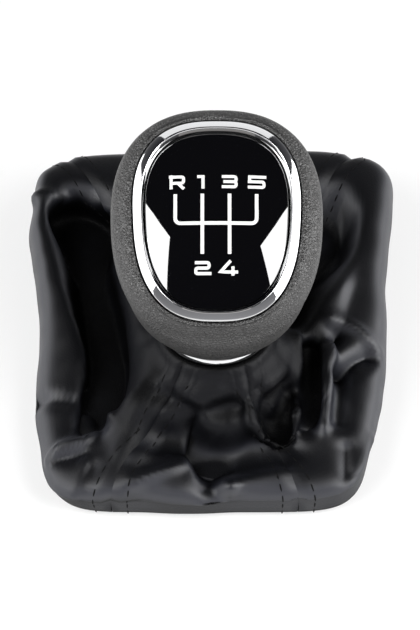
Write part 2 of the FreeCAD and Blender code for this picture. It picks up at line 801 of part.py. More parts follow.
def thick_panel(start, end, step=4.6):
    """A closed sheet of leather between two seams."""
    trim = size("seam_gap") / 2 / foot_radius(start, 0)
    angles = even_angles(start + trim, end - trim, step)
    ahead = math.radians(0.4)
    outer_rows = []
    inner_rows = []
    half = size("leather") / 2
    for angle in angles:
        path = gaiter_path(angle)
        before = gaiter_path(angle - ahead)
        after = gaiter_path(angle + ahead)
        outer = []
        inner = []
        for k, point in enumerate(path):
            along = path[min(k + 1, len(path) - 1)] - path[max(k - 1, 0)]
            normal = (after[k] - before[k]).cross(along)
            normal.normalize()
            outer.append(point + normal * half)
            inner.append(point - normal * half)
        outer_rows.append(outer)
        inner_rows.append(inner)
    outer_rows = drawn_out(outer_rows)
    inner_rows = drawn_out(inner_rows)
    faces = [grid_face(outer_rows), grid_face(inner_rows)]
    faces.append(edge_face(outer_rows[0], inner_rows[0]))
    faces.append(edge_face(outer_rows[-1], inner_rows[-1]))
    faces.append(edge_face([row[0] for row in outer_rows], [row[0] for row in inner_rows]))
    faces.append(edge_face([row[-1] for row in outer_rows], [row[-1] for row in inner_rows]))
    sewn = Part.makeCompound(faces)
    sewn.sewShape(0.001)
    solid = Part.makeSolid(sewn.Shells[0])
    if solid.Volume < 0:
        solid.reverse()
    return solid


FULL = 2 * math.pi
free_piece("gaiter_front", thick_panel(SEAMS["front_left"], SEAMS["front_right"]))
free_piece("gaiter_right", thick_panel(SEAMS["front_right"], SEAMS["rear_right"] + FULL))
free_piece("gaiter_rear", thick_panel(SEAMS["rear_right"], SEAMS["rear_left"]))
free_piece("gaiter_left", thick_panel(SEAMS["rear_left"], SEAMS["front_left"]))

doc.recompute()

os.makedirs("parts", exist_ok=True)
for item in doc.Objects:
    if "Invalid" in item.State or "Error" in item.State:
        raise RuntimeError("%s did not recompute: %s" % (item.Label, item.State))

NODES = [o for o in doc.Objects if o.TypeId in ("PartDesign::Body", "Part::Feature")]
for node in NODES:
    shape = node.Shape
    if shape.isNull() or not shape.isValid():
        raise RuntimeError("%s has no valid shape" % node.Label)
    shape.exportStep("parts/%s.step" % node.Label)
    print(node.Label, len(shape.Solids), round(shape.Volume / 1000, 3), shape.BoundBox)
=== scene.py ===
import bpy
import math
import numpy as np
from mathutils import Matrix, Vector
from mathutils.bvhtree import BVHTree
from mathutils.geometry import delaunay_2d_cdt
from mathutils.kdtree import KDTree


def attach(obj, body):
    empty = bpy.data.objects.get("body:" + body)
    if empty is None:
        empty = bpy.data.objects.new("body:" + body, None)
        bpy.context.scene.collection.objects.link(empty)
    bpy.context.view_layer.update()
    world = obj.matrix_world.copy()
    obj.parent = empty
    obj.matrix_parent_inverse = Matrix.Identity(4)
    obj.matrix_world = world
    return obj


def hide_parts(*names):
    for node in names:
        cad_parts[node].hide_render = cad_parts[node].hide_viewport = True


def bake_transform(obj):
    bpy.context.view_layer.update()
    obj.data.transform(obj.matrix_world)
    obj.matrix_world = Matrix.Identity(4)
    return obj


# Looks of the gear shift knob and its leather gaiter. Lengths are millimetres, as in the part's
# source, and become metres when a mesh is made. Only the grain and relief of finishes are in metres.

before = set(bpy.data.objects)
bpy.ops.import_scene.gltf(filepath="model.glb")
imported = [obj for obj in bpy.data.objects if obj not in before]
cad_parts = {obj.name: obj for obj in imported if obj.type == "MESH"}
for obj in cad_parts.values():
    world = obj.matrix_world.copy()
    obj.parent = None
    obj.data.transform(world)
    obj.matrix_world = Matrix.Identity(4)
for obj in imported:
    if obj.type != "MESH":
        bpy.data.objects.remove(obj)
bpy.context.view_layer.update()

MM = 0.001
FULL = 2 * math.pi
LEAN = math.radians(9.0)
FOOT = Vector((2.0, -16.5, 38.0))
CAP_TILT = math.radians(33.0)
CAP_PLACE = Vector((0.0, -2.9, 42.2))
KNOB = Matrix.Translation(FOOT) @ Matrix.Rotation(-LEAN, 4, "X")
CAP_ON_KNOB = Matrix.Translation(CAP_PLACE) @ Matrix.Rotation(CAP_TILT, 4, "X")
CAP = KNOB @ CAP_ON_KNOB


# Meshes from grids of points.


def placed(points, matrix):
    """Points of any grid, moved by a matrix."""
    m = np.array(matrix)
    return np.asarray(points, float) @ m[:3, :3].T + m[:3, 3]


def grid_quads(rows, cols, wrap_rows=False, wrap_cols=False, start=0):
    """Four-cornered faces over a grid of points, which may close on itself either way."""
    quads = []
    for r in range(rows if wrap_rows else rows - 1):
        here, above = start + r * cols, start + (r + 1) % rows * cols
        for c in range(cols if wrap_cols else cols - 1):
            c2 = (c + 1) % cols
            quads.append((here + c, here + c2, above + c2, above + c))
    return quads


def make_piece(name, points, faces, material, smooth=True):
    """A mesh object from points in millimetres."""
    mesh = bpy.data.meshes.new(name)
    mesh.from_pydata([tuple(p) for p in np.asarray(points, float) * MM], [], faces)
    mesh.validate()
    mesh.update()
    mesh.polygons.foreach_set("use_smooth", [smooth] * len(mesh.polygons))
    mesh.materials.append(material)
    piece = bpy.data.objects.new(name, mesh)
    bpy.context.scene.collection.objects.link(piece)
    return piece


def loops_piece(name, loops, material, closed_tube=False, caps=False):
    """A piece skinned over closed loops of points. A closed tube joins its last loop to its first."""
    loops = np.asarray(loops, float)
    rows, cols = loops.shape[:2]
    faces = grid_quads(rows, cols, closed_tube, True)
    points = loops.reshape(-1, 3)
    if caps:
        points = np.vstack([points, loops[0].mean(0), loops[-1].mean(0)])
        for c in range(cols):
            c2 = (c + 1) % cols
            faces.append((rows * cols, c2, c))
            faces.append((rows * cols + 1, (rows - 1) * cols + c, (rows - 1) * cols + c2))
    return make_piece(name, points, faces, material)


def spline_rows(table, samples):
    """Natural cubic rows through the rows of a table, spaced evenly along it."""
    table = np.array(table, float)
    step = np.abs(np.diff(table[:, 0])) + 0.5 * np.abs(np.diff(table[:, 3]))
    t = np.concatenate([[0], np.cumsum(step)])
    count = len(t)
    h = np.diff(t)
    a = np.eye(count)
    b = np.zeros((count, table.shape[1]))
    for k in range(1, count - 1):
        a[k, k - 1], a[k, k], a[k, k + 1] = h[k - 1], 2 * (h[k - 1] + h[k]), h[k]
        b[k] = 6 * ((table[k + 1] - table[k]) / h[k] - (table[k] - table[k - 1]) / h[k - 1])
    bend = np.linalg.solve(a, b)
    rows = []
    for x in np.linspace(0, t[-1], samples):
        k = min(int(np.searchsorted(t, x, side="right")) - 1, count - 2)
        left, right, gap = x - t[k], t[k + 1] - x, h[k]
        rows.append(
            (bend[k] * right**3 + bend[k + 1] * left**3) / (6 * gap)
            + (table[k] / gap - bend[k] * gap / 6) * right
            + (table[k + 1] / gap - bend[k + 1] * gap / 6) * left
        )
    return rows


def squared(turns, power):
    """The unit rounded square that a power makes, as a loop."""
    angle = FULL * np.arange(turns) / turns
    c, s = np.cos(angle), np.sin(angle)
    return np.sign(c) * np.abs(c) ** (2 / power), np.sign(s) * np.abs(s) ** (2 / power)


# Nodes, and the shader groups that several finishes share.


def give(tree, socket, value):
    """Sets a socket to a value, or feeds it from another socket."""
    if isinstance(value, bpy.types.NodeSocket):
        tree.links.new(value, socket)
    else:
        socket.default_value = value


def add_node(tree, kind, inputs=(), **settings):
    """A node with its settings, each input given as a value or as the socket that feeds it."""
    node = tree.nodes.new(kind)
    for name, value in settings.items():
        setattr(node, name, value)
    for label, value in dict(inputs).items():
        give(tree, node.inputs[label], value)
    return node


def math_node(tree, operation, first, second):
    """The output of one Math node, from two numbers or sockets."""
    return add_node(tree, "ShaderNodeMath", {0: first, 1: second}, operation=operation).outputs[0]


def vector_node(tree, operation, inputs):
    """The output of one Vector Math node."""
    return add_node(tree, "ShaderNodeVectorMath", inputs, operation=operation).outputs[0]


def new_group(name, numbers, results):
    """An empty shader group: a place and numbers with defaults go in, numbers come out."""
    group = bpy.data.node_groups.new(name, "ShaderNodeTree")
    group.interface.new_socket("Vector", in_out="INPUT", socket_type="NodeSocketVector")
    for label, default in numbers.items():
        socket = group.interface.new_socket(label, in_out="INPUT", socket_type="NodeSocketFloat")
        socket.default_value = default
    for label in results:
        group.interface.new_socket(label, in_out="OUTPUT", socket_type="NodeSocketFloat")
    return group, group.nodes.new("NodeGroupInput").outputs


def pebble_grain_group():
    """Fine pebbled grain: rounded cells with creases between them, and a finer tooth on top."""
    tree, given = new_group("pebble_grain", {"Cells": 1100.0, "Wander": 0.35}, ("Height", "Crease"))
    place, cells = given["Vector"], given["Cells"]
    drift_scale = math_node(tree, "MULTIPLY", cells, 0.45)
    drift = add_node(tree, "ShaderNodeTexNoise", {"Vector": place, "Scale": drift_scale, "Detail": 2.0})
    centred = vector_node(tree, "SUBTRACT", {0: drift.outputs["Color"], 1: (0.5, 0.5, 0.5)})
    reach = math_node(tree, "DIVIDE", given["Wander"], cells)
    moved = vector_node(tree, "ADD", {0: place, 1: vector_node(tree, "SCALE", {0: centred, "Scale": reach})})
    border = add_node(
        tree, "ShaderNodeTexVoronoi", {"Vector": moved, "Scale": cells}, feature="DISTANCE_TO_EDGE"
    )
    dome = add_node(
        tree,
        "ShaderNodeMapRange",
        {"Value": border.outputs["Distance"], "From Min": 0.0, "From Max": 0.32},
        interpolation_type="SMOOTHSTEP",
    ).outputs["Result"]
    tooth_scale = math_node(tree, "MULTIPLY", cells, 1.7)
    tooth = add_node(tree, "ShaderNodeTexNoise", {"Vector": place, "Scale": tooth_scale, "Detail": 3.0})
    small = math_node(tree, "MULTIPLY", tooth.outputs["Fac"], 0.5)
    height, crease = math_node(tree, "ADD", dome, small), math_node(tree, "SUBTRACT", 1.0, dome)
    add_node(tree, "NodeGroupOutput", {"Height": height, "Crease": crease})
    return tree


def handling_group():
    """Broad, faint unevenness from handling and dust, for roughness and colour."""
    tree, given = new_group("handling_marks", {"Size": 60.0, "Low": 0.3, "High": 0.5}, ("Value", "Mask"))
    broad = add_node(
        tree,
        "ShaderNodeTexNoise",
        {"Vector": given["Vector"], "Scale": given["Size"], "Detail": 6.0, "Roughness": 0.62},
    ).outputs["Fac"]
    spread = add_node(
        tree,
        "ShaderNodeMapRange",
        {"Value": broad, "From Min": 0.3, "From Max": 0.7, "To Min": given["Low"], "To Max": given["High"]},
    )
    add_node(tree, "NodeGroupOutput", {"Value": spread.outputs["Result"], "Mask": broad})
    return tree


PEBBLE = pebble_grain_group()
HANDLING = handling_group()


class Finish:
    """One material under construction, with the nodes that every finish here shares."""

    def __init__(self, name, colour, roughness, metallic=0.0, specular=0.5):
        self.material = bpy.data.materials.new(name)
        self.material.use_nodes = True
        self.tree = self.material.node_tree
        self.place = self.tree.nodes.new("ShaderNodeTexCoord").outputs["Object"]
        self.feed("Base Color", (*colour, 1.0))
        self.feed("Roughness", roughness)
        self.feed("Metallic", metallic)
        self.feed("Specular IOR Level", specular)

    def feed(self, label, value):
        """Gives the shader a value, or a socket that varies over the surface."""
        give(self.tree, self.tree.nodes["Principled BSDF"].inputs[label], value)

    def group(self, group, **numbers):
        """The outputs of a shared group, placed in this material with its own numbers."""
        inputs = {"Vector": self.place, **numbers}
        return add_node(self.tree, "ShaderNodeGroup", inputs, node_tree=group).outputs

    def uneven(self, size, low, high):
        """Roughness that drifts a little over the surface. The drift comes back as a mask."""
        marks = self.group(HANDLING, Size=size, Low=low, High=high)
        self.feed("Roughness", marks["Value"])
        return marks["Mask"]

    def bump(self, height, depth):
        """Relief, its depth in metres."""
        relief = add_node(self.tree, "ShaderNodeBump", {"Distance": depth, "Height": height})
        self.feed("Normal", relief.outputs["Normal"])

    def colour_between(self, mask, first, second):
        """Colour that runs from the first to the second as the mask runs from 0 to 1."""
        inputs = {"Factor": mask, "A": (*first, 1.0), "B": (*second, 1.0)}
        mixed = add_node(self.tree, "ShaderNodeMix", inputs, data_type="RGBA")
        self.feed("Base Color", mixed.outputs["Result"])

    def coat(self, weight, roughness, ior):
        """A clear coat, its weight a number or a mask."""
        self.feed("Coat Weight", weight)
        self.feed("Coat Roughness", roughness)
        self.feed("Coat IOR", ior)


def grip_skin_finish():
    """Soft black skin with a pebbled grain, darker in its creases."""
    finish = Finish("grip_skin", (0.02, 0.0195, 0.019), 0.5, specular=1.0)
    grain = finish.group(PEBBLE, Cells=1050.0, Wander=0.9)
    finish.colour_between(grain["Crease"], (0.042, 0.0405, 0.0395), (0.009, 0.0088, 0.0086))
    finish.uneven(90.0, 0.38, 0.48)
    finish.bump(grain["Height"], 0.00017)
    return finish.material


def leather_finish():
    """Black leather with painted shading from its own attribute: painted light, bluish and coated, where the
    attribute is high, and painted shade, near black, where it is low.
    """
    finish = Finish("gaiter_leather", (0.004, 0.004, 0.0055), 0.44, specular=0.08)
    grain = finish.group(PEBBLE, Cells=1250.0, Wander=0.9)
    # Painted shading: the attribute paints light and shade into the base colour, from near black in painted
    # shade to bluish grey in painted light.
    painted_shading = add_node(finish.tree, "ShaderNodeAttribute", attribute_name="painted_shading").outputs["Fac"]
    finish.colour_between(painted_shading, (0.001, 0.001, 0.0012), (0.011, 0.0125, 0.021))
    finish.uneven(70.0, 0.5, 0.58)
    finish.bump(grain["Height"], 0.00004)
    # The same painted shading sets the coat weight, so the painted light is glossy and the painted shade is
    # not.
    finish.coat(painted_shading, 0.5, 1.75)
    return finish.material


def bright_finish():
    """Bright plated trim."""
    finish = Finish("bright_trim", (0.86, 0.865, 0.875), 0.06, metallic=1.0)
    finish.uneven(140.0, 0.03, 0.07)
    return finish.material


def black_gloss_finish():
    """Deep black gloss under a hard clear coat."""
    finish = Finish("black_gloss", (0.0008, 0.0008, 0.001), 0.02, specular=1.0)
    finish.coat(1.0, 0.01, 2.3)
    finish.uneven(120.0, 0.012, 0.03)
    return finish.material


def white_paint_finish():
    """White paint, slightly uneven."""
    finish = Finish("white_paint", (0.9, 0.9, 0.89), 0.3)
    marks = finish.uneven(300.0, 0.26, 0.36)
    finish.colour_between(marks, (0.86, 0.86, 0.85), (0.94, 0.94, 0.93))
    return finish.material


def core_plastic_finish():
    """Moulded black plastic with a fine tooth."""
    finish = Finish("core_plastic", (0.02, 0.02, 0.021), 0.55)
    grain = finish.group(PEBBLE, Cells=2600.0, Wander=0.3)
    finish.colour_between(grain["Crease"], (0.021, 0.021, 0.022), (0.015, 0.015, 0.016))
    finish.uneven(160.0, 0.5, 0.62)
    finish.bump(grain["Height"], 0.00002)
    return finish.material


def tie_nylon_finish():
    """Smooth dark nylon."""
    finish = Finish("tie_nylon", (0.03, 0.03, 0.031), 0.42)
    finish.uneven(220.0, 0.36, 0.5)
    return finish.material


def clamp_steel_finish():
    """Dull spring steel."""
    finish = Finish("clamp_steel", (0.55, 0.55, 0.56), 0.32, metallic=1.0)
    finish.uneven(260.0, 0.26, 0.4)
    return finish.material


def thread_finish():
    """Matt black thread."""
    finish = Finish("black_thread", (0.002, 0.002, 0.0024), 0.8, specular=0.2)
    grain = finish.group(PEBBLE, Cells=5200.0, Wander=0.4)
    finish.colour_between(grain["Crease"], (0.003, 0.003, 0.0035), (0.001, 0.001, 0.001))
    finish.bump(grain["Height"], 0.00004)
    return finish.material


GRIP_SKIN = grip_skin_finish()
LEATHER_FINISH = leather_finish()
BRIGHT = bright_finish()
BLACK_GLOSS = black_gloss_finish()
WHITE_PAINT = white_paint_finish()
CORE_PLASTIC = core_plastic_finish()
TIE_NYLON = tie_nylon_finish()
CLAMP_STEEL = clamp_steel_finish()
THREAD = thread_finish()


# The knob. Its outlines are those of the part's source, with the small roundings added.

BEZEL_HALF_W = 23.5
BEZEL_HALF_L = 28.9
BEZEL_BAND = 3.2
BEZEL_DEEP = 1.6
BEZEL_SQUARE = 2.6
BEZEL_TAPER = 0.05
SEAT_GAP = 0.3
SKIN_THICK = 2.3
SKIN_ROWS = 64
DOME_RADIUS = 92.0
DOME_TOP = 3.2
CAP_RINGS = 45
CAP_EDGE = 0.25
CAP_MIDDLE = 0.004
COLLAR_LOW = -3.2
COLLAR_HIGH = -0.3
SPIGOT_HIGH = 2.7
TURNS = 168
COLLAR_TURNS = 144


def egg_loop(inset, height):
    """The bezel's egg outline over the cap's plane, moved in by inset."""
    x, y = squared(TURNS, BEZEL_SQUARE)
    q = (BEZEL_HALF_L - inset) * y
    wide = BEZEL_HALF_W - inset + BEZEL_TAPER * q
    return np.stack([wide * x, q, np.full(TURNS, float(height))], 1)


def dome_height(u, q):
    """Height of the cap's dome over its plane."""
    return DOME_TOP - DOME_RADIUS + np.sqrt(DOME_RADIUS**2 - u**2 - q**2)


# Height and place of the head's sections, tilt, half width, reach to front and rear, squareness, taper.
HEAD_SECTIONS = [
    (0.0, 0.0, 0.0, 16.4, 16.2, 16.4, 2.00, 0.000),
    (1.3, 0.0, 1.0, 18.3, 17.5, 18.3, 2.00, 0.000),
    (5.0, 0.2, 3.0, 21.5, 20.1, 21.2, 2.02, 0.000),
    (11.0, 0.8, 8.0, 24.6, 24.0, 24.6, 2.08, 0.010),
    (18.5, 1.4, 15.0, 26.8, 27.5, 27.2, 2.18, 0.020),
    (25.5, 1.6, 21.0, 28.2, 30.1, 29.6, 2.28, 0.030),
    (31.5, 1.0, 27.0, 29.5, 31.5, 31.8, 2.34, 0.040),
    (36.0, -0.1, 31.0, 29.9, 31.7, 33.4, 2.38, 0.045),
    (39.6, -1.9, 33.0, 29.1, 31.0, 33.5, 2.42, 0.050),
    (42.0, -3.2, 33.0, 25.8, 29.9, 30.8, 2.46, 0.050),
]


def head_loop(section, inset):
    """One leaning section of the head, moved in by inset."""
    w, v, tilt, half_w, front, rear, power, taper = section
    x, y = squared(TURNS, power)
    lean = math.radians(tilt)
    q = (np.where(y > 0, rear, front) - inset) * y
    wide = (half_w - inset + taper * q) * x
    return np.stack([wide, v + q * math.cos(lean), w + q * math.sin(lean)], 1)


def build_grip_shell():
    """The soft skin, full right up to the gap round the bezel."""
    rows = spline_rows(HEAD_SECTIONS, SKIN_ROWS)
    loops = [head_loop(row, 0.0) for row in rows]
    shoulder = [
        (-1.5, 0.02), (-0.95, 0.06), (-0.6, 0.0), (-0.4, -0.18), (-SEAT_GAP, -0.5),
        (-SEAT_GAP, -BEZEL_DEEP - SEAT_GAP),
    ]
    for inset, height in shoulder:
        loops.append(placed(egg_loop(inset, height), CAP_ON_KNOB))
    inner = [head_loop(row, SKIN_THICK) for row in rows[::6]]
    inner[0][:, 2] = 0.0
    loops += inner[::-1]
    piece = loops_piece("grip_skin_moulding", placed(np.array(loops), KNOB), GRIP_SKIN, closed_tube=True)
    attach(piece, "knob")
    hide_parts("grip_shell")


def build_bezel():
    """The bright ring, its broad outer facet a little full and its edges broken."""
    outer = [
        (0.0, -BEZEL_DEEP), (0.0, -0.6), (0.0, 0.1), (0.06, 0.3), (0.2, 0.45), (0.6, 0.76), (1.1, 1.14),
        (1.6, 1.5), (1.95, 1.75),
    ]
    crest = [(2.08, 1.84), (2.2, 1.88), (2.33, 1.84), (2.46, 1.7)]
    inner = [
        (2.64, 1.42), (2.84, 1.1), (3.02, 0.8), (3.12, 0.62), (3.18, 0.42), (BEZEL_BAND, 0.2),
        (BEZEL_BAND, -0.6), (BEZEL_BAND, -BEZEL_DEEP), (2.0, -BEZEL_DEEP),
    ]
    loops = [egg_loop(inset, height) for inset, height in outer + crest + inner]
    piece = loops_piece("bezel_ring", placed(np.array(loops), CAP), BRIGHT, closed_tube=True)
    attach(piece, "knob")
    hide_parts("cap_bezel")


def build_cap():
    """The gloss black dome with its broken edge."""
    edge = BEZEL_BAND + SEAT_GAP
    loops = []
    for ring in range(CAP_RINGS + 1):
        loop = egg_loop(edge + CAP_EDGE, 0.0)
        loop[:, :2] *= max(math.sin(math.pi / 2 * ring / CAP_RINGS), CAP_MIDDLE)
        loop[:, 2] = dome_height(loop[:, 0], loop[:, 1])
        loops.append(loop)
    for inset, drop in ((0.12, 0.05), (0.03, 0.14), (0.0, 0.3)):
        loop = egg_loop(edge + inset, 0.0)
        loop[:, 2] = dome_height(loop[:, 0], loop[:, 1]) - drop
        loops.append(loop)
    loops.append(egg_loop(edge, -BEZEL_DEEP))
    piece = loops_piece("cap_plate", placed(np.array(loops[::-1]), CAP), BLACK_GLOSS, caps=True)
    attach(piece, "knob")
    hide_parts("pattern_cap")


# The shift pattern is white paint on the cap: lines, and plain signs drawn as thick strokes.

LINE_WIDE = 1.0
SIGN_WIDE = 0.86
PAINT_PROUD = 0.03
PAINT_THICK = 0.05
CORNER_STEPS = 6


def stroke_outline(points, wide):
    """The outline of a thick stroke along a run of points, its corners mitred."""
    points = np.array(points, float)
    way = np.gradient(points, axis=0)
    way /= np.linalg.norm(way, axis=1)[:, None]
    side = np.stack([-way[:, 1], way[:, 0]], 1) * wide / 2
    sharpest = 0.5
    for k in range(1, len(points) - 1):
        before = points[k] - points[k - 1]
        after = points[k + 1] - points[k]
        before /= np.linalg.norm(before)
        after /= np.linalg.norm(after)
        side[k] /= max(math.sqrt((1 + before @ after) / 2), sharpest)
    return [tuple(p) for p in np.vstack([points - side, (points + side)[::-1]])]


def divided(points, step=1.2):
    """The same run with more points, so that its long stretches follow the dome."""
    out = [points[0]]
    for a, b in zip(points, points[1:]):
        count = max(int(math.dist(a, b) / step), 1)
        for k in range(1, count + 1):
            out.append((a[0] + (b[0] - a[0]) * k / count, a[1] + (b[1] - a[1]) * k / count))
    return out


def rounded_run(corners, radius):
    """A run through corners, each rounded, or left sharp where the radius is nothing."""
    if not radius:
        return corners
    run = [corners[0]]
    for before, corner, after in zip(corners, corners[1:], corners[2:]):
        before, corner, after = Vector(before), Vector(corner), Vector(after)
        into = (before - corner).normalized()
        out = (after - corner).normalized()
        half = into.angle(out) / 2
        cut = min(radius / math.tan(half), 0.49 * (before - corner).length, 0.49 * (after - corner).length)
        for k in range(CORNER_STEPS + 1):
            t = k / CORNER_STEPS
            run.append(tuple(corner + into * cut * (1 - t) ** 2 + out * cut * t**2))
    run.append(corners[-1])
    return run


# Each sign fills a box 1 wide and 1 high: runs of corners, and the radius that rounds them.
SIGN_RUNS = {
    "R": [
        ([(0.13, 0.0), (0.13, 1.0)], 0.0),
        ([(0.0, 0.87), (0.87, 0.87), (0.87, 0.42), (0.13, 0.42)], 0.16),
        ([(0.52, 0.42), (0.9, 0.0)], 0.0),
    ],
    "1": [([(0.0, 0.87), (0.66, 0.87), (0.66, 0.0)], 0.0)],
    "2": [
        ([(0.08, 0.87), (0.87, 0.87), (0.87, 0.5), (0.13, 0.5), (0.13, 0.13), (1.0, 0.13)], 0.16),
    ],
    "3": [
        ([(0.0, 0.87), (0.87, 0.87), (0.87, 0.5), (0.1, 0.5)], 0.17),
        ([(0.1, 0.5), (0.87, 0.5), (0.87, 0.13), (0.0, 0.13)], 0.17),
    ],
    "4": [
        ([(0.62, 1.0), (0.1, 0.24), (1.0, 0.24)], 0.0),
        ([(0.74, 0.62), (0.74, 0.0)], 0.0),
    ],
    "5": [
        ([(1.0, 0.87), (0.1, 0.87), (0.1, 0.52)], 0.0),
        ([(0.0, 0.52), (0.87, 0.52), (0.87, 0.13), (0.0, 0.13)], 0.16),
    ],
}
# Sign, left and right edge, lower and upper edge, on the cap's plane.
SIGN_PLACES = [
    ("R", -13.4, -8.7, 8.6, 12.7),
    ("1", -5.5, -3.0, 8.6, 12.7),
    ("3", 1.4, 6.0, 8.6, 12.7),
    ("5", 8.7, 13.9, 8.6, 12.7),
    ("2", -6.5, -1.5, -16.1, -12.0),
    ("4", 0.5, 5.9, -16.1, -12.0),
]
SHIFT_RUNS = [
    ([(-11.6, 7.1), (-11.6, -1.4), (11.14, -1.4), (11.14, 7.1)], 1.7),
    ([(-4.04, 7.1), (-4.04, -10.1)], 0.0),
    ([(3.56, 7.1), (3.56, -10.1)], 0.0),
]


def paint_outlines():
    """The outlines of all strokes on the cap's plane."""
    outlines = [
        stroke_outline(divided(rounded_run(corners, radius)), LINE_WIDE) for corners, radius in SHIFT_RUNS
    ]
    for sign, left, right, low, high in SIGN_PLACES:
        wide, tall = right - left, high - low
        for corners, radius in SIGN_RUNS[sign]:
            run = rounded_run([(left + x * wide, low + y * tall) for x, y in corners], radius * tall)
            outlines.append(stroke_outline(divided(run), SIGN_WIDE))
    return outlines


def build_pattern():
    """The paint: all strokes joined into one clean film that lies on the dome."""
    flat, faces = [], []
    for outline in paint_outlines():
        faces.append(list(range(len(flat), len(flat) + len(outline))))
        flat += [Vector(p) for p in outline]
    only_inside, nearest = 1, 1e-4
    points, _, triangles, _, _, sources = delaunay_2d_cdt(flat, [], faces, only_inside, nearest)
    triangles = [tuple(t) for t, source in zip(triangles, sources) if source]
    plane = np.array([tuple(p) for p in points])
    top = np.column_stack([plane, dome_height(plane[:, 0], plane[:, 1]) + PAINT_PROUD])
    low = top - [0, 0, PAINT_THICK]
    count = len(top)
    edges = {e for a, b, c in triangles for e in ((a, b), (b, c), (c, a))}
    walls = [(b, a, a + count, b + count) for a, b in sorted(edges) if (b, a) not in edges]
    body = triangles + [(c + count, b + count, a + count) for a, b, c in triangles] + walls
    piece = make_piece("pattern_paint", placed(np.vstack([top, low]), CAP), body, WHITE_PAINT, smooth=False)
    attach(piece, "knob")


def build_collar():
    """The bright collar, turned, with its edges rounded."""
    low, high = COLLAR_LOW, COLLAR_HIGH
    band = [
        (12.9, low), (15.3, low), (15.62, low + 0.1), (15.88, low + 0.32), (16.0, low + 0.62),
        (16.02, low + 1.3), (16.0, high - 0.75), (15.86, high - 0.42), (15.6, high - 0.14), (15.2, high),
    ]
    spigot = [(13.9, high), (13.9, SPIGOT_HIGH), (12.9, SPIGOT_HIGH)]
    angles = FULL * np.arange(COLLAR_TURNS) / COLLAR_TURNS
    circle = np.stack([np.cos(angles), np.sin(angles), np.ones(COLLAR_TURNS)], 1)
    loops = [circle * (radius, radius, w) for radius, w in band + spigot]
    piece = loops_piece("collar_band", placed(np.array(loops), KNOB), BRIGHT, closed_tube=True)
    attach(piece, "knob")
    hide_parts("collar_ring")


build_grip_shell()
build_bezel()
build_cap()
build_pattern()
build_collar()


# The leather. The path from hem to neck and the folds are those of the part's source.

FRAME_HALF_W = 50.0
FRAME_HALF_L = 60.5
FRAME_TAPER = 0.06
FRAME_SQUARE = 7.5
FRAME_HIGH = 8.0
LEATHER = 1.1
LEATHER_LOW = 0.4
HEM_TURN = 4.6
HEM_HIGH = 4.8
SEAM_GAP = 0.35
TIE_R = 15.2
TIE_THICK = 1.1
NECK_RING_R = 13.4
COLLAR_DEEP = 2.9
NECK_MID = KNOB @ Vector((0, 0, -12.0))
NECK_OUT_R = TIE_R + TIE_THICK + SEAT_GAP + LEATHER / 2
NECK_IN_R = NECK_RING_R + SEAT_GAP + LEATHER / 2
NECK_TOP_W = -COLLAR_DEEP - 2 * SEAT_GAP - LEATHER / 2
CLEAR_Z = FRAME_HIGH + LEATHER / 2 + 2 * SEAT_GAP

# Angle round the frame: height of the rolled edge, reach of the roll in and up, swell.
EDGE_TABLE = [
    (0, 23.0, 9.9, 7.0, 3.9),
    (12, 23.5, 8.2, 7.0, 3.1),
    (25, 24.0, 7.9, 6.5, 3.8),
    (36, 24.8, 8.9, 7.0, 5.0),
    (43, 25.0, 9.8, 7.0, 6.0),
    (47, 25.5, 8.5, 7.0, 4.0),
    (52, 25.5, 8.0, 7.0, 1.0),
    (90, 26.0, 10.0, 8.0, 0.6),
    (122, 24.1, 8.0, 7.0, 0.6),
    (130, 24.0, 7.0, 7.0, 1.0),
    (135, 24.4, 6.0, 7.0, 3.0),
    (144, 24.6, 4.0, 7.0, 3.2),
    (150, 24.0, 5.0, 7.0, 4.5),
    (158, 23.5, 5.3, 7.0, 3.4),
    (167, 22.8, 5.8, 7.5, 2.4),
    (180, 22.0, 8.0, 8.0, 1.7),
    (190, 21.5, 10.8, 8.8, 2.0),
    (203, 20.0, 15.1, 9.5, 3.4),
    (212, 18.5, 17.0, 9.0, 4.0),
    (222, 17.0, 14.9, 8.0, 3.2),
    (230, 16.0, 12.0, 6.8, 3.6),
    (236, 15.0, 9.6, 5.5, 2.6),
    (243, 15.0, 7.0, 5.2, 0.8),
    (250, 15.5, 6.3, 5.2, 0.2),
    (262, 16.0, 7.4, 5.0, 2.2),
    (268, 13.5, 6.2, 4.3, 2.0),
    (277, 13.8, 5.6, 4.6, 0.3),
    (303, 14.0, 7.0, 4.8, 0.0),
    (316, 17.0, 9.0, 7.0, 0.0),
    (323, 18.4, 10.4, 8.0, 1.8),
    (331, 19.6, 11.8, 8.0, 3.2),
    (342, 21.2, 12.4, 8.0, 4.1),
]
# The large folds: a line over the frame, its height (hollows are negative) and its width.
FOLDS = [
    ([(-42, 33), (-37, 15), (-33, -5), (-31, -22), (-34, -35)], -13.0, 7.5),
    ([(-40, 32), (-20, 27), (0, 27), (20, 32), (36, 36)], -11.0, 8.5),
    ([(45, 30), (38, 22), (26, 8), (24, -4)], -11.0, 6.5),
    ([(47, 14), (36, 0), (30, -6)], 3.5, 5.0),
    ([(47, -11), (37, -13)], -5.0, 3.5),
    ([(29, -18), (29, -34)], -7.0, 3.5),
    ([(34, -16), (33, -36)], 2.5, 3.0),
    ([(22, -29), (19, -40)], -9.0, 4.5),
    ([(16, -31), (11, -38), (12, -44), (19, -46), (24, -42), (26, -31)], 3.0, 2.6),
    ([(-45, -47), (-38, -44), (-29, -41), (-23, -36)], 3.0, 3.5),
    ([(-44, -52), (-36, -50)], -3.0, 4.0),
    ([(-50, -31), (-38, -32)], -2.5, 3.0),
    ([(-8, -35), (-1, -42)], 2.0, 3.0),
    ([(6, -36), (2, -50)], -2.5, 4.0),
    ([(-22, -52), (-6, -53)], 1.5, 4.0),
]

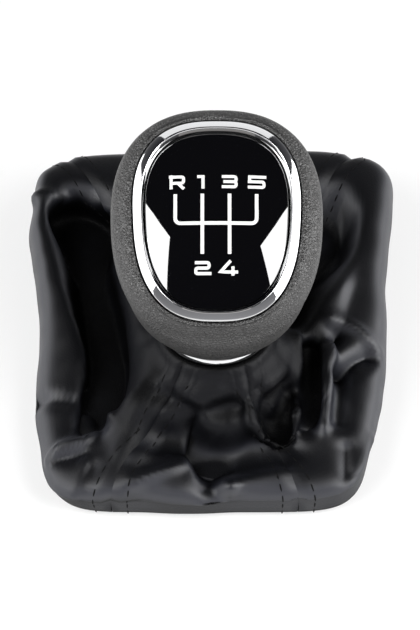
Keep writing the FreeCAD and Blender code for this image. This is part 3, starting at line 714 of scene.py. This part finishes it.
# Creases and small folds over the leather: a line in the object's frame, its rise and its width.
CREASES = [
    ([(-47, -49, 13), (-43, -46, 15), (-35, -44, 16), (-32, -39, 14), (-27, -38, 18)], 2.6, 1.7),
    ([(-45, -49, 14), (-40, -50, 16), (-37, -49, 16)], -1.5, 2.0),
    ([(-37, -39, 16), (-36, -34, 16), (-33, -27, 14)], -4.5, 4.0),
    ([(-43, 37, 16), (-36, 25, 11), (-32, 1, 14), (-29, -14, 13), (-33, -26, 13)], -5.0, 7.0),
    ([(-51, -28, 11), (-42, -31, 17)], -1.6, 2.4),
    ([(-19, -34, 26), (-24, -43, 20), (-28, -58, 12)], 2.2, 6.0),
    ([(-36, -51, 15), (-40, -61, 9)], 1.0, 2.0),
    ([(-34, -53, 15), (-38, -60, 7)], -1.0, 2.2),
    ([(-22, -58, 15), (-14, -55, 16), (-7, -53, 18), (-3, -56, 15), (0, -59, 13), (6, -58, 13)], 2.2, 2.2),
    ([(6, -58, 13), (13, -56, 14), (23, -54, 14)], 1.6, 2.6),
    ([(-13, -46, 20), (-3, -48, 18), (2, -50, 14), (12, -48, 17), (23, -46, 17)], -5.5, 6.0),
    ([(-6, -45, 23), (-2, -53, 15), (0, -58, 13)], -4.0, 3.2),
    ([(-14, -36, 28), (-6, -42, 26), (6, -40, 25), (15, -36, 28)], -3.0, 3.6),
    ([(-4, -34, 35), (2, -36, 33), (12, -34, 31)], -0.9, 1.2),
    ([(22, -27, 25), (17, -34, 27), (13, -39, 28), (12, -42, 26), (13, -44, 23), (18, -44, 19)], 2.0, 2.2),
    ([(18, -44, 19), (23, -42, 20), (25, -39, 21), (27, -30, 20), (27, -24, 21), (26, -14, 25)], 2.0, 2.3),
    ([(22, -29, 22), (18, -35, 23), (17, -39, 20), (20, -39, 17), (22, -36, 18), (24, -30, 19)], -3.2, 3.0),
    ([(30, -16, 21), (31, -28, 18), (30, -41, 19)], -4.5, 3.0),
    ([(35, -14, 22), (35, -28, 21), (33, -40, 18)], 2.6, 2.8),
    ([(39, -24, 20), (38, -38, 18)], -3.2, 3.4),
    ([(36, -7, 25), (42, -7, 22), (47, -11, 21), (50, -14, 18)], 2.0, 2.2),
    ([(48, -16, 19), (43, -19, 20), (39, -23, 20)], -3.8, 3.0),
    ([(40, -47, 15), (40, -52, 14), (41, -54, 13)], -2.2, 3.0),
    ([(42, -55, 11), (45, -49, 12), (47, -41, 11)], 1.4, 2.0),
    ([(-54, 41, 22), (-48, 41, 23), (-42, 41, 19), (-30, 37, 20)], 1.8, 2.4),
    ([(-44, 34, 18), (-39, 36, 14), (-31, 33, 15)], -4.0, 4.6),
]


def smooth(x):
    """Runs from 0 to 1 with level ends as x does."""
    x = np.clip(x, 0.0, 1.0)
    return x * x * (3 - 2 * x)


def foot_radius(angle, inset):
    """Distance from the frame's middle to its outline moved in by inset, found by halving."""
    angle, inset = np.broadcast_arrays(np.asarray(angle, float), np.asarray(inset, float))
    low, high = np.zeros(angle.shape), np.full(angle.shape, 100.0)
    for _ in range(40):
        mid = (low + high) / 2
        x, y = np.abs(mid * np.cos(angle)), mid * np.sin(angle)
        wide = FRAME_HALF_W - inset + FRAME_TAPER * y
        outside = (x / wide) ** FRAME_SQUARE + np.abs(y / (FRAME_HALF_L - inset)) ** FRAME_SQUARE > 1
        high = np.where(outside, mid, high)
        low = np.where(outside, low, mid)
    return low


def foot_point(angle, inset, height):
    """Points of the frame's outline moved in by inset, at a height."""
    reach = foot_radius(angle, inset)
    return np.stack([reach * np.cos(angle), reach * np.sin(angle), height + 0 * reach], -1)


def edge_values(angle):
    """The edge table's values at an angle, run smoothly between its rows."""
    degrees = np.degrees(angle) % 360
    rows = np.array(EDGE_TABLE + [(360,) + EDGE_TABLE[0][1:]], float)
    k = np.clip(np.searchsorted(rows[:, 0], degrees, side="right") - 1, 0, len(rows) - 2)
    part = smooth((degrees - rows[k, 0]) / (rows[k + 1, 0] - rows[k, 0]))
    return [rows[k, c] + (rows[k + 1, c] - rows[k, c]) * part for c in range(1, 5)]


def line_distance(points, line):
    """Distance from points to a line of straight runs."""
    best = np.full(points.shape[:-1], 1e9)
    for start, end in zip(line, line[1:]):
        way = end - start
        along = np.clip((points - start) @ way / (way @ way), 0, 1)
        best = np.minimum(best, np.linalg.norm(points - start - along[..., None] * way, axis=-1))
    return best


def fold_height(points):
    """Height that the large folds add at places over the frame."""
    height = 0.0
    for line, high, wide in FOLDS:
        far = line_distance(points[:, :2], np.array(line, float)) / wide
        height = height + high * np.exp(-(far**2))
    return height


def neck_point(turn, radius, w):
    """Points of the neck round the lever's axis, rippled on the outside."""
    ripple = 0.35 * np.cos(11 * turn) + 0.25 * np.cos(17 * turn + 1.0)
    radius = radius + ripple * smooth((-5.0 - w) / 6.0) * smooth((radius - NECK_IN_R) / 2.0)
    local = np.stack([radius * np.cos(turn), radius * np.sin(turn), w + 0 * turn], -1)
    return placed(local, KNOB)


# Rows of pull points from the hem to the neck's end: where the wall starts, where the roll ends, where the
# leather is cut in two, where the neck starts, and how many there are.
WALL_ROW = 8
CREST_ROW = 13
CUT_ROW = 17.0
NECK_ROW = 24
ROW_COUNT = 32
FLANK_STEPS = NECK_ROW - CREST_ROW


def gaiter_poles(angle):
    """The leather's middle, as pull points from the hem up to the neck, for many angles."""
    half = LEATHER / 2
    low = LEATHER_LOW + half
    edge, roll_in, roll_up, swell = edge_values(angle)
    wall_top = edge - roll_up
    path = [
        foot_point(angle, HEM_TURN, HEM_HIGH),
        foot_point(angle, HEM_TURN, low + 2.8),
        foot_point(angle, HEM_TURN, low + 1.6),
        foot_point(angle, HEM_TURN - 0.5, low + 0.4),
        foot_point(angle, (HEM_TURN + half) / 2, low),
        foot_point(angle, half + 0.5 - 0.2 * swell, low + 0.4),
        foot_point(angle, half - 0.35 * swell, low + 1.6),
        foot_point(angle, half - 0.65 * swell, CLEAR_Z / 2 + 1.0),
        foot_point(angle, half - 0.85 * swell, CLEAR_Z),
        foot_point(angle, half - swell, (CLEAR_Z + wall_top) / 2),
    ]
    for degrees in (0, 30, 60, 90):
        turned = math.radians(degrees)
        inset = half - 0.9 * swell + roll_in * (1 - math.cos(turned))
        path.append(foot_point(angle, inset, wall_top + roll_up * math.sin(turned)))
    crest = path[-1]
    outside = foot_point(angle, 0, 0)
    turn = np.arctan2(outside[:, 1] - NECK_MID.y, outside[:, 0] - NECK_MID.x)
    foot = neck_point(turn, NECK_OUT_R + 2.2, -9.5)
    for step in range(1, FLANK_STEPS):
        share = step / FLANK_STEPS
        point = crest + (foot - crest) * share
        rise = (foot[:, 2] - crest[:, 2]) * (share**1.6 - share)
        hold = smooth(share / 0.2) * smooth((1 - share) / 0.2)
        z = point[:, 2] + rise + hold * fold_height(point)
        point[:, 2] = (z + CLEAR_Z + np.hypot(z - CLEAR_Z, 2.0)) / 2
        path.append(point)
    path.append(foot)
    for radius, w in (
        (NECK_OUT_R + 0.5, -7.4),
        (NECK_OUT_R, NECK_TOP_W - 1.9),
        (NECK_OUT_R - 0.5, NECK_TOP_W - 0.5),
        ((NECK_OUT_R + NECK_IN_R) / 2, NECK_TOP_W),
        (NECK_IN_R + 0.5, NECK_TOP_W - 0.5),
        (NECK_IN_R, NECK_TOP_W - 1.9),
        (NECK_IN_R, NECK_TOP_W - 5.0),
    ):
        path.append(neck_point(turn, radius, w))
    return np.stack(path, 1)


def pull_weights(count, places):
    """Weights of a cubic run of pull points, held at both ends, at places from 0 to 1."""
    spans = count - 3
    knots = np.concatenate([[0] * 4, np.arange(1, spans), [spans] * 4]).astype(float)
    x = np.clip(np.asarray(places) * spans, 0, spans - 1e-9)
    basis = [((knots[k] <= x) & (x < knots[k + 1])).astype(float) for k in range(len(knots) - 1)]
    for degree in (1, 2, 3):
        raised = []
        for k in range(len(basis) - 1):
            value = 0.0
            if knots[k + degree] > knots[k]:
                value = value + (x - knots[k]) / (knots[k + degree] - knots[k]) * basis[k]
            if knots[k + degree + 1] > knots[k + 1]:
                over = knots[k + degree + 1] - knots[k + 1]
                value = value + (knots[k + degree + 1] - x) / over * basis[k + 1]
            raised.append(value + 0 * x)
        basis = raised
    return np.stack(basis, 1)


def even_angles(start, end, step):
    """Angles that lie about a step apart along the frame's outline."""
    fine = np.linspace(start, end, 401)
    spots = foot_point(fine, 0, 0)
    run = np.concatenate([[0], np.cumsum(np.linalg.norm(np.diff(spots, axis=0), axis=1))])
    count = max(int(round(run[-1] / step)), 4)
    return np.interp(np.linspace(0, run[-1], count + 1), run, fine)


def seam_angle(x):
    """The angle at which a seam crosses the front of the frame at x."""
    return math.atan2(-FRAME_HALF_L, x) % FULL


REAR_RIGHT = math.radians(52)
REAR_LEFT = math.radians(128)
FRONT_LEFT = seam_angle(-29.0)
FRONT_RIGHT = seam_angle(26.2)
PANELS = {
    "gaiter_front": (FRONT_LEFT, FRONT_RIGHT),
    "gaiter_right": (FRONT_RIGHT, REAR_RIGHT + FULL),
    "gaiter_rear": (REAR_RIGHT, REAR_LEFT),
    "gaiter_left": (REAR_LEFT, FRONT_LEFT),
}
PULL_STEP = 4.6
SIDE_PER_SPAN = 5
PATH_PER_SPAN = 4


def surface_normals(grid):
    """Normals of a grid of points: rows run round the frame, columns from hem to neck."""
    normal = np.cross(np.gradient(grid, axis=0), np.gradient(grid, axis=1))
    return normal / np.linalg.norm(normal, axis=2)[:, :, None]


def panel_surface(start, end):
    """The middle surface of one panel, and the row of pull points that each column stands for."""
    trim = SEAM_GAP / 2 / float(foot_radius(start, 0))
    angles = even_angles(start + trim, end - trim, PULL_STEP)
    poles = gaiter_poles(angles)
    poles[1:-1] -= (poles[2:] - 2 * poles[1:-1] + poles[:-2]) / 6
    side_places = np.linspace(0, 1, (len(angles) - 3) * SIDE_PER_SPAN + 1)
    path_places = np.linspace(0, 1, (ROW_COUNT - 3) * PATH_PER_SPAN + 1)
    side = pull_weights(len(angles), side_places)
    path = pull_weights(ROW_COUNT, path_places)
    grid = np.einsum("ap,pqk,bq->abk", side, poles, path)
    return grid, path_places * (ROW_COUNT - 3)


def softened(line):
    """The same line with its corners cut twice."""
    line = np.array(line, float)
    for _ in range(2):
        cuts = [line[0]]
        for a, b in zip(line, line[1:]):
            cuts += [a * 0.75 + b * 0.25, a * 0.25 + b * 0.75]
        line = np.array(cuts + [line[-1]])
    return line


def crease_rise(points):
    """Rise of the creases at points of the leather: ridges have a narrow crest, hollows are round."""
    rise = np.zeros(points.shape[:-1])
    for line, high, wide in CREASES:
        far = (line_distance(points, softened(line)) / wide) ** 2
        sharp = 0.5 if high > 0 else 0.0
        rise += high * ((1 - sharp) * np.exp(-far) + sharp * np.exp(0.3 - np.sqrt(far * 2 + 0.09)))
    return rise


def creased(grid, rows):
    """The panel's middle with its creases, held clear of the frame past the roll."""
    free = smooth((rows - WALL_ROW + 1.0) / 3.0) * (1 - smooth((rows - NECK_ROW + 2.0) / 2.0))
    grid = grid + surface_normals(grid) * (crease_rise(grid) * free[None, :])[:, :, None]
    over_frame = np.where(rows > CREST_ROW, CLEAR_Z, -1e3)[None, :]
    grid[:, :, 2] = np.maximum(grid[:, :, 2], over_frame)
    return grid


SEAM_EDGE = 4.0
VALLEY_DEEP = 0.7
VALLEY_WIDE = 0.6
EDGE_HIGH = 0.22
DIMPLE_DEEP = 0.2


def seam_relief(grid, rows):
    """Seam valleys, the turned-in edges beside them and the dimples of the stitch rows."""
    rise = np.zeros(grid.shape[:2])
    width = np.linalg.norm(np.diff(grid, axis=0), axis=2)
    run = np.concatenate([np.zeros((1, grid.shape[1])), np.cumsum(width, axis=0)])
    for gone in (run, run[-1] - run):
        turned_in = smooth((gone - 0.3) / 1.2) * (1 - smooth((gone - SEAM_EDGE - 0.8) / 1.2))
        rise -= VALLEY_DEEP * np.exp(-((gone / VALLEY_WIDE) ** 2))
        rise += EDGE_HIGH * turned_in
        rise -= DIMPLE_DEEP * np.exp(-(((gone - SEAM_EDGE) / VALLEY_WIDE) ** 2))
    outside = smooth((rows - 5.0) / 1.5) * (1 - smooth((rows - (NECK_ROW + 1.0)) / 1.5))
    return rise * outside[None, :], run


# How open each place is decides the painted shading: light painted where it is open, shade painted where it
# is hidden. Rings of sight lines: their height over the floor in degrees, and how many there are.
SIGHT_RINGS = [(8, 12), (28, 12), (50, 8), (72, 4)]
SIGHT_START = 1.4
OPEN_STEP = 3
OPEN_FULL = 0.45


def sight_lines():
    """Unit directions around and above a place."""
    ways = []
    for level, count in SIGHT_RINGS:
        up = math.radians(level)
        for k in range(count):
            turn = FULL * (k + 0.5) / count
            ways.append((math.cos(turn) * math.cos(up), math.sin(turn) * math.cos(up), math.sin(up)))
    return np.array(ways)


def open_share(grid, normals, tree):
    """How much of what is around and above each point is open, past the folds and the knob."""
    ways = sight_lines()
    picked = [np.unique(np.append(np.arange(0, n, OPEN_STEP), n - 1)) for n in grid.shape[:2]]
    coarse = np.zeros((len(picked[0]), len(picked[1])))
    for i, a in enumerate(picked[0]):
        for j, b in enumerate(picked[1]):
            start = Vector(grid[a, b] + normals[a, b] * SIGHT_START)
            for facing, way in zip(ways @ normals[a, b], ways):
                if facing > 0 and tree.ray_cast(start, Vector(way))[0] is None:
                    coarse[i, j] += facing / (OPEN_FULL * len(ways))
    full = np.array([np.interp(np.arange(grid.shape[1]), picked[1], row) for row in coarse])
    return np.array([np.interp(np.arange(grid.shape[0]), picked[0], col) for col in full.T]).T


def painted_shading_mask(grid, normals, rows, tree):
    """Painted shading of the leather: painted light on steep rims that stand clear, painted shade in
    hollows, on top and past the roll towards the neck.
    """
    # Painted shade grows past the roll's crest towards the neck; painted light needs a clear view and a
    # steep face.
    rim = 1 - 0.8 * smooth((rows - CREST_ROW - 1.2) / 3.0)
    clear = smooth((open_share(grid, normals, tree) - 0.32) / 0.5)
    steep = smooth((0.97 - normals[:, :, 2]) / 0.34)
    return clear * (0.12 + 0.88 * steep) * rim[None, :]


def knob_and_leather_tree(grids):
    """Everything that can stand between a place on the leather and the open."""
    points, faces = [], []
    for grid in grids:
        faces += grid_quads(*grid.shape[:2], start=len(points))
        points += [Vector(p) for p in grid.reshape(-1, 3)]
    for name in ("grip_skin_moulding", "collar_band"):
        mesh = bpy.data.objects[name].data
        faces += [tuple(len(points) + v for v in face.vertices) for face in mesh.polygons]
        points += [v.co / MM for v in mesh.vertices]
    return BVHTree.FromPolygons(points, faces)


def split_panel(name, grid, normals, rows, painted_shading):
    """Two closed sheets of leather from one panel, split across the path at the cut row."""
    half = LEATHER / 2
    cut = int(np.argmin(np.abs(rows - CUT_ROW)))
    pieces = []
    for label, chosen in (("low", slice(0, cut + 1)), ("top", slice(cut, None))):
        middle, normal = grid[:, chosen], normals[:, chosen]
        count, length = middle.shape[:2]
        total = count * length
        points = np.concatenate([middle + normal * half, middle - normal * half]).reshape(-1, 3)
        inward = grid_quads(count, length)
        faces = [f[::-1] for f in inward] + [tuple(i + total for i in f) for f in inward]
        edge = list(range(length))
        edge += [r * length + length - 1 for r in range(1, count)]
        edge += [(count - 1) * length + c for c in range(length - 2, -1, -1)]
        edge += [r * length for r in range(count - 2, 0, -1)]
        for a, b in zip(edge, edge[1:] + edge[:1]):
            faces.append((a, b, b + total, a + total))
        piece = make_piece(name + "_" + label, points, faces, LEATHER_FINISH)
        shown = np.concatenate([normal, -normal]).reshape(-1, 3)
        piece.data.normals_split_custom_set_from_vertices([tuple(n) for n in shown])
        # The painted shading goes on the points as an attribute for the leather finish.
        painted_shading_layer = piece.data.attributes.new("painted_shading", "FLOAT", "POINT")
        painted_shading_layer.data.foreach_set("value", np.tile(painted_shading[:, chosen].ravel(), 2).astype(np.float32))
        pieces.append((piece, rows[chosen], middle))
    return pieces


def blend_low(piece, rows):
    """Bakes the piece's placing into its mesh; the piece is not bent."""
    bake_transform(piece)


def blend_top(piece, rows):
    """Bakes the piece's placing into its mesh; the piece is not bent."""
    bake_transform(piece)


def build_gaiter():
    """The four panels, each as a low and a top part, and the stitch rows beside their seams."""
    shapes = {}
    for name, (start, end) in PANELS.items():
        grid, rows = panel_surface(start, end)
        shapes[name] = (creased(grid, rows), rows)
    tree = knob_and_leather_tree([grid for grid, _ in shapes.values()])
    paths = []
    for name, (grid, rows) in shapes.items():
        normals = surface_normals(grid)
        # Painted shading: painted shade in hollows and on top, painted light on open steep rims, baked from
        # sight lines past the folds and the knob.
        painted_shading = painted_shading_mask(grid, normals, rows, tree)
        rise, run = seam_relief(grid, rows)
        grid = grid + normals * rise[:, :, None]
        normals = surface_normals(grid)
        low, top = split_panel(name, grid, normals, rows, painted_shading)
        for (piece, own_rows, middle), blend in ((low, blend_low), (top, blend_top)):
            blend(piece, np.tile(own_rows, 2 * len(middle)))
            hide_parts(name)
        for gone in (run, run[-1] - run):
            near = np.argmin(np.abs(gone - SEAM_EDGE), axis=0)
            columns = np.arange(len(rows))
            line = grid[near, columns] + normals[near, columns] * (LEATHER / 2 - STITCH_SUNK)
            paths.append((line, rows))
    build_stitches(paths)


STITCH_PITCH = 3.5
STITCH_LONG = 2.6
STITCH_THICK = 0.5
STITCH_SUNK = 0.05
STITCH_FIRST_ROW = 4.6
STITCH_LAST_ROW = NECK_ROW - 1.5


def stitch_tree():
    """Stitches laid at an even pitch along the edges of a mesh."""
    tree = bpy.data.node_groups.new("stitch_row", "GeometryNodeTree")
    for label, way, kind in (
        ("Geometry", "INPUT", "NodeSocketGeometry"),
        ("Pitch", "INPUT", "NodeSocketFloat"),
        ("Stitch Size", "INPUT", "NodeSocketVector"),
        ("Geometry", "OUTPUT", "NodeSocketGeometry"),
    ):
        tree.interface.new_socket(label, in_out=way, socket_type=kind)
    given = tree.nodes.new("NodeGroupInput").outputs
    curve = add_node(tree, "GeometryNodeMeshToCurve", {"Mesh": given["Geometry"]}).outputs["Curve"]
    even = add_node(
        tree, "GeometryNodeResampleCurve", {"Curve": curve, "Length": given["Pitch"]}, mode="LENGTH"
    )
    bead = add_node(tree, "GeometryNodeMeshUVSphere", {"Segments": 8, "Rings": 5, "Radius": 0.5})
    way = add_node(tree, "GeometryNodeInputTangent").outputs["Tangent"]
    turn = add_node(tree, "FunctionNodeAlignRotationToVector", {"Vector": way}, axis="Z")
    places = {"Points": even.outputs["Curve"], "Instance": bead.outputs["Mesh"]}
    shape = {"Rotation": turn.outputs["Rotation"], "Scale": given["Stitch Size"]}
    lay = add_node(tree, "GeometryNodeInstanceOnPoints", {**places, **shape})
    real = add_node(tree, "GeometryNodeRealizeInstances", {"Geometry": lay.outputs["Instances"]})
    thread = {"Geometry": real.outputs["Geometry"], "Material": THREAD}
    dyed = add_node(tree, "GeometryNodeSetMaterial", thread)
    add_node(tree, "NodeGroupOutput", {"Geometry": dyed.outputs["Geometry"]})
    return tree


def stitch_mesh(name, points, edges, tree):
    """The stitches along the edges of a mesh, as a plain mesh."""
    mesh = bpy.data.meshes.new(name + "_paths")
    mesh.from_pydata(points, edges, [])
    source = bpy.data.objects.new(name + "_paths", mesh)
    bpy.context.scene.collection.objects.link(source)
    layer = source.modifiers.new("stitches", "NODES")
    layer.node_group = tree
    sockets = {item.name: item.identifier for item in tree.interface.items_tree if item.in_out == "INPUT"}
    layer[sockets["Pitch"]] = STITCH_PITCH * MM
    layer[sockets["Stitch Size"]] = [STITCH_THICK * MM, STITCH_THICK * MM, STITCH_LONG * MM]
    graph = bpy.context.evaluated_depsgraph_get()
    made = bpy.data.meshes.new_from_object(source.evaluated_get(graph))
    made.name = name
    made.polygons.foreach_set("use_smooth", [True] * len(made.polygons))
    bpy.data.objects.remove(source)
    return made


def build_stitches(paths):
    """The stitch rows: one piece below the cut and one above it."""
    tree = stitch_tree()
    for name, first, last, blend in (
        ("stitches_low", STITCH_FIRST_ROW, CUT_ROW, blend_low),
        ("stitches_top", CUT_ROW, STITCH_LAST_ROW, blend_top),
    ):
        points, edges, place = [], [], []
        for line, rows in paths:
            chosen = (rows >= first) & (rows <= last)
            start = len(points)
            points += [tuple(p) for p in line[chosen] * MM]
            place += list(rows[chosen])
            edges += [(k, k + 1) for k in range(start, len(points) - 1)]
        piece = bpy.data.objects.new(name, stitch_mesh(name, points, edges, tree))
        bpy.context.scene.collection.objects.link(piece)
        nearest = KDTree(len(points))
        for k, p in enumerate(points):
            nearest.insert(p, k)
        nearest.balance()
        blend(piece, np.array([place[nearest.find(v.co)[1]] for v in piece.data.vertices]))


build_gaiter()


# Pieces whose shape stays as it is, in their own finishes.

for node, finish in {
    "grip_core": CORE_PLASTIC,
    "cap_carrier": CORE_PLASTIC,
    "lever_sleeve": CORE_PLASTIC,
    "neck_ring": CORE_PLASTIC,
    "boot_frame": CORE_PLASTIC,
    "hem_retainer": CORE_PLASTIC,
    "lever_clamp": CLAMP_STEEL,
    "neck_tie": TIE_NYLON,
}.items():
    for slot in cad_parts[node].material_slots:
        slot.material = finish


# Studio: a pale floor, soft boxes whose inner corners show in the cap, low walls of light round
# the object, a dim sky, and the camera.

SOFT_BOX_LIGHT = 4.6
SOFT_BOX_HIGH = 700.0
SOFT_BOX_WIDE = 420.0
SOFT_BOX_SLOPE = (0.85, 0.53)
FLOOR_SIZE = 4000.0
CAMERA_UP = math.radians(54.0)
CAMERA_AWAY = 800.0
CAMERA_LOOK = Vector((0.0, 3.5, 20.0))
SENSOR = 36.0
FOCAL_PIXELS = 2650.0
PHOTO_HIGH = 630.0


def floor_finish():
    """Matt, pale and a little lit from within, so that it stays even."""
    finish = Finish("pale_floor", (0.4, 0.4, 0.4), 0.7, specular=0.0)
    finish.feed("Emission Color", (1.0, 1.0, 1.0, 1.0))
    finish.feed("Emission Strength", 0.6)
    return finish.material


def build_floor():
    """A wide level floor under the object."""
    corners = [(-1, -1, 0), (1, -1, 0), (1, 1, 0), (-1, 1, 0)]
    points = np.array(corners) * FLOOR_SIZE
    floor = make_piece("floor", points, [(0, 1, 2, 3)], floor_finish(), smooth=False)


def soft_box(name, corner, along, across, radiance, colour=(1, 1, 1)):
    """A rectangular light from one corner and its two square sides. It shines to along x across."""
    along, across = Vector(along) * MM, Vector(across) * MM
    light = bpy.data.lights.new(name, "AREA")
    light.shape = "RECTANGLE"
    light.size, light.size_y = along.length, across.length
    light.energy = radiance * math.pi * along.length * across.length
    light.color = colour
    lamp = bpy.data.objects.new(name, light)
    x = along.normalized()
    z = -(along.cross(across)).normalized()
    turn = Matrix((x, z.cross(x), z)).transposed().to_4x4()
    lamp.matrix_world = Matrix.Translation(Vector(corner) * MM + (along + across) / 2) @ turn
    bpy.context.scene.collection.objects.link(lamp)


def build_lights():
    """Two pairs of soft boxes whose inner corners show in the cap, and low walls on all sides."""
    level_share, drop_share = SOFT_BOX_SLOPE
    for side, inner, rear, front in (
        (-1, (-208, -204), (-282, -75), (-264, -469)),
        (1, (206, -249), (294, -89), (281, -437)),
    ):
        corner = Vector((*inner, SOFT_BOX_HIGH))
        for label, end, long in (("front", front, 420), ("rear", rear, 300)):
            run = (Vector((*end, SOFT_BOX_HIGH)) - corner).normalized() * long
            level = Vector((-run.y, run.x, 0.0)).normalized()
            if level.x * side < 0:
                level = -level
            out = (level * level_share - Vector((0.0, 0.0, drop_share))).normalized() * SOFT_BOX_WIDE
            shines_down = run.cross(out).z < 0
            first, second = (run, out) if shines_down else (out, run)
            soft_box("soft_box_%s_%d" % (label, side), corner, first, second, SOFT_BOX_LIGHT)
        low_wall = [(0, 900 * -side, 0), (0, 0, 330)]
        soft_box("side_wall_%d" % side, (side * 680, side * 400, 90), *low_wall, 3.1 + 0.8 * side)
    soft_box("front_wall", (-400, -900, 250), (0, 0, 300), (800, 0, 0), 0.5, (1.0, 0.94, 0.9))
    soft_box("back_wall", (-500, 800, 250), (1000, 0, 0), (0, -60, 420), 0.85)


def build_world():
    """A dim sky that is paler below and at the horizon."""
    world = bpy.data.worlds.new("studio")
    bpy.context.scene.world = world
    world.use_nodes = True
    tree = world.node_tree
    place = add_node(tree, "ShaderNodeTexCoord").outputs["Generated"]
    height = add_node(tree, "ShaderNodeSeparateXYZ", {0: place}).outputs["Z"]
    ramp = add_node(tree, "ShaderNodeValToRGB", {0: height})
    below, above = ramp.color_ramp.elements
    below.position, below.color = 0.02, (0.3, 0.3, 0.31, 1)
    above.position, above.color = 0.55, (0.012, 0.012, 0.015, 1)
    give(tree, tree.nodes["Background"].inputs["Color"], ramp.outputs[0])


def build_camera():
    """Looks down at 54 degrees from the front, as the photograph does."""
    camera = bpy.data.cameras.new("camera")
    camera.sensor_width = SENSOR
    camera.lens = FOCAL_PIXELS * SENSOR / PHOTO_HIGH
    camera.shift_x = 0.0006
    camera.shift_y = -0.0238
    camera.clip_start, camera.clip_end = 0.01, 20.0
    eye = bpy.data.objects.new("camera", camera)
    back = Vector((0.0, -math.cos(CAMERA_UP), math.sin(CAMERA_UP)))
    spot = Matrix.Translation((CAMERA_LOOK + back * CAMERA_AWAY) * MM)
    eye.matrix_world = spot @ back.to_track_quat("Z", "Y").to_matrix().to_4x4()
    bpy.context.scene.collection.objects.link(eye)
    bpy.context.scene.camera = eye


build_floor()
build_lights()
build_world()
build_camera()
bpy.context.scene.view_settings.view_transform = "Standard"
bpy.context.scene.view_settings.look = "None"
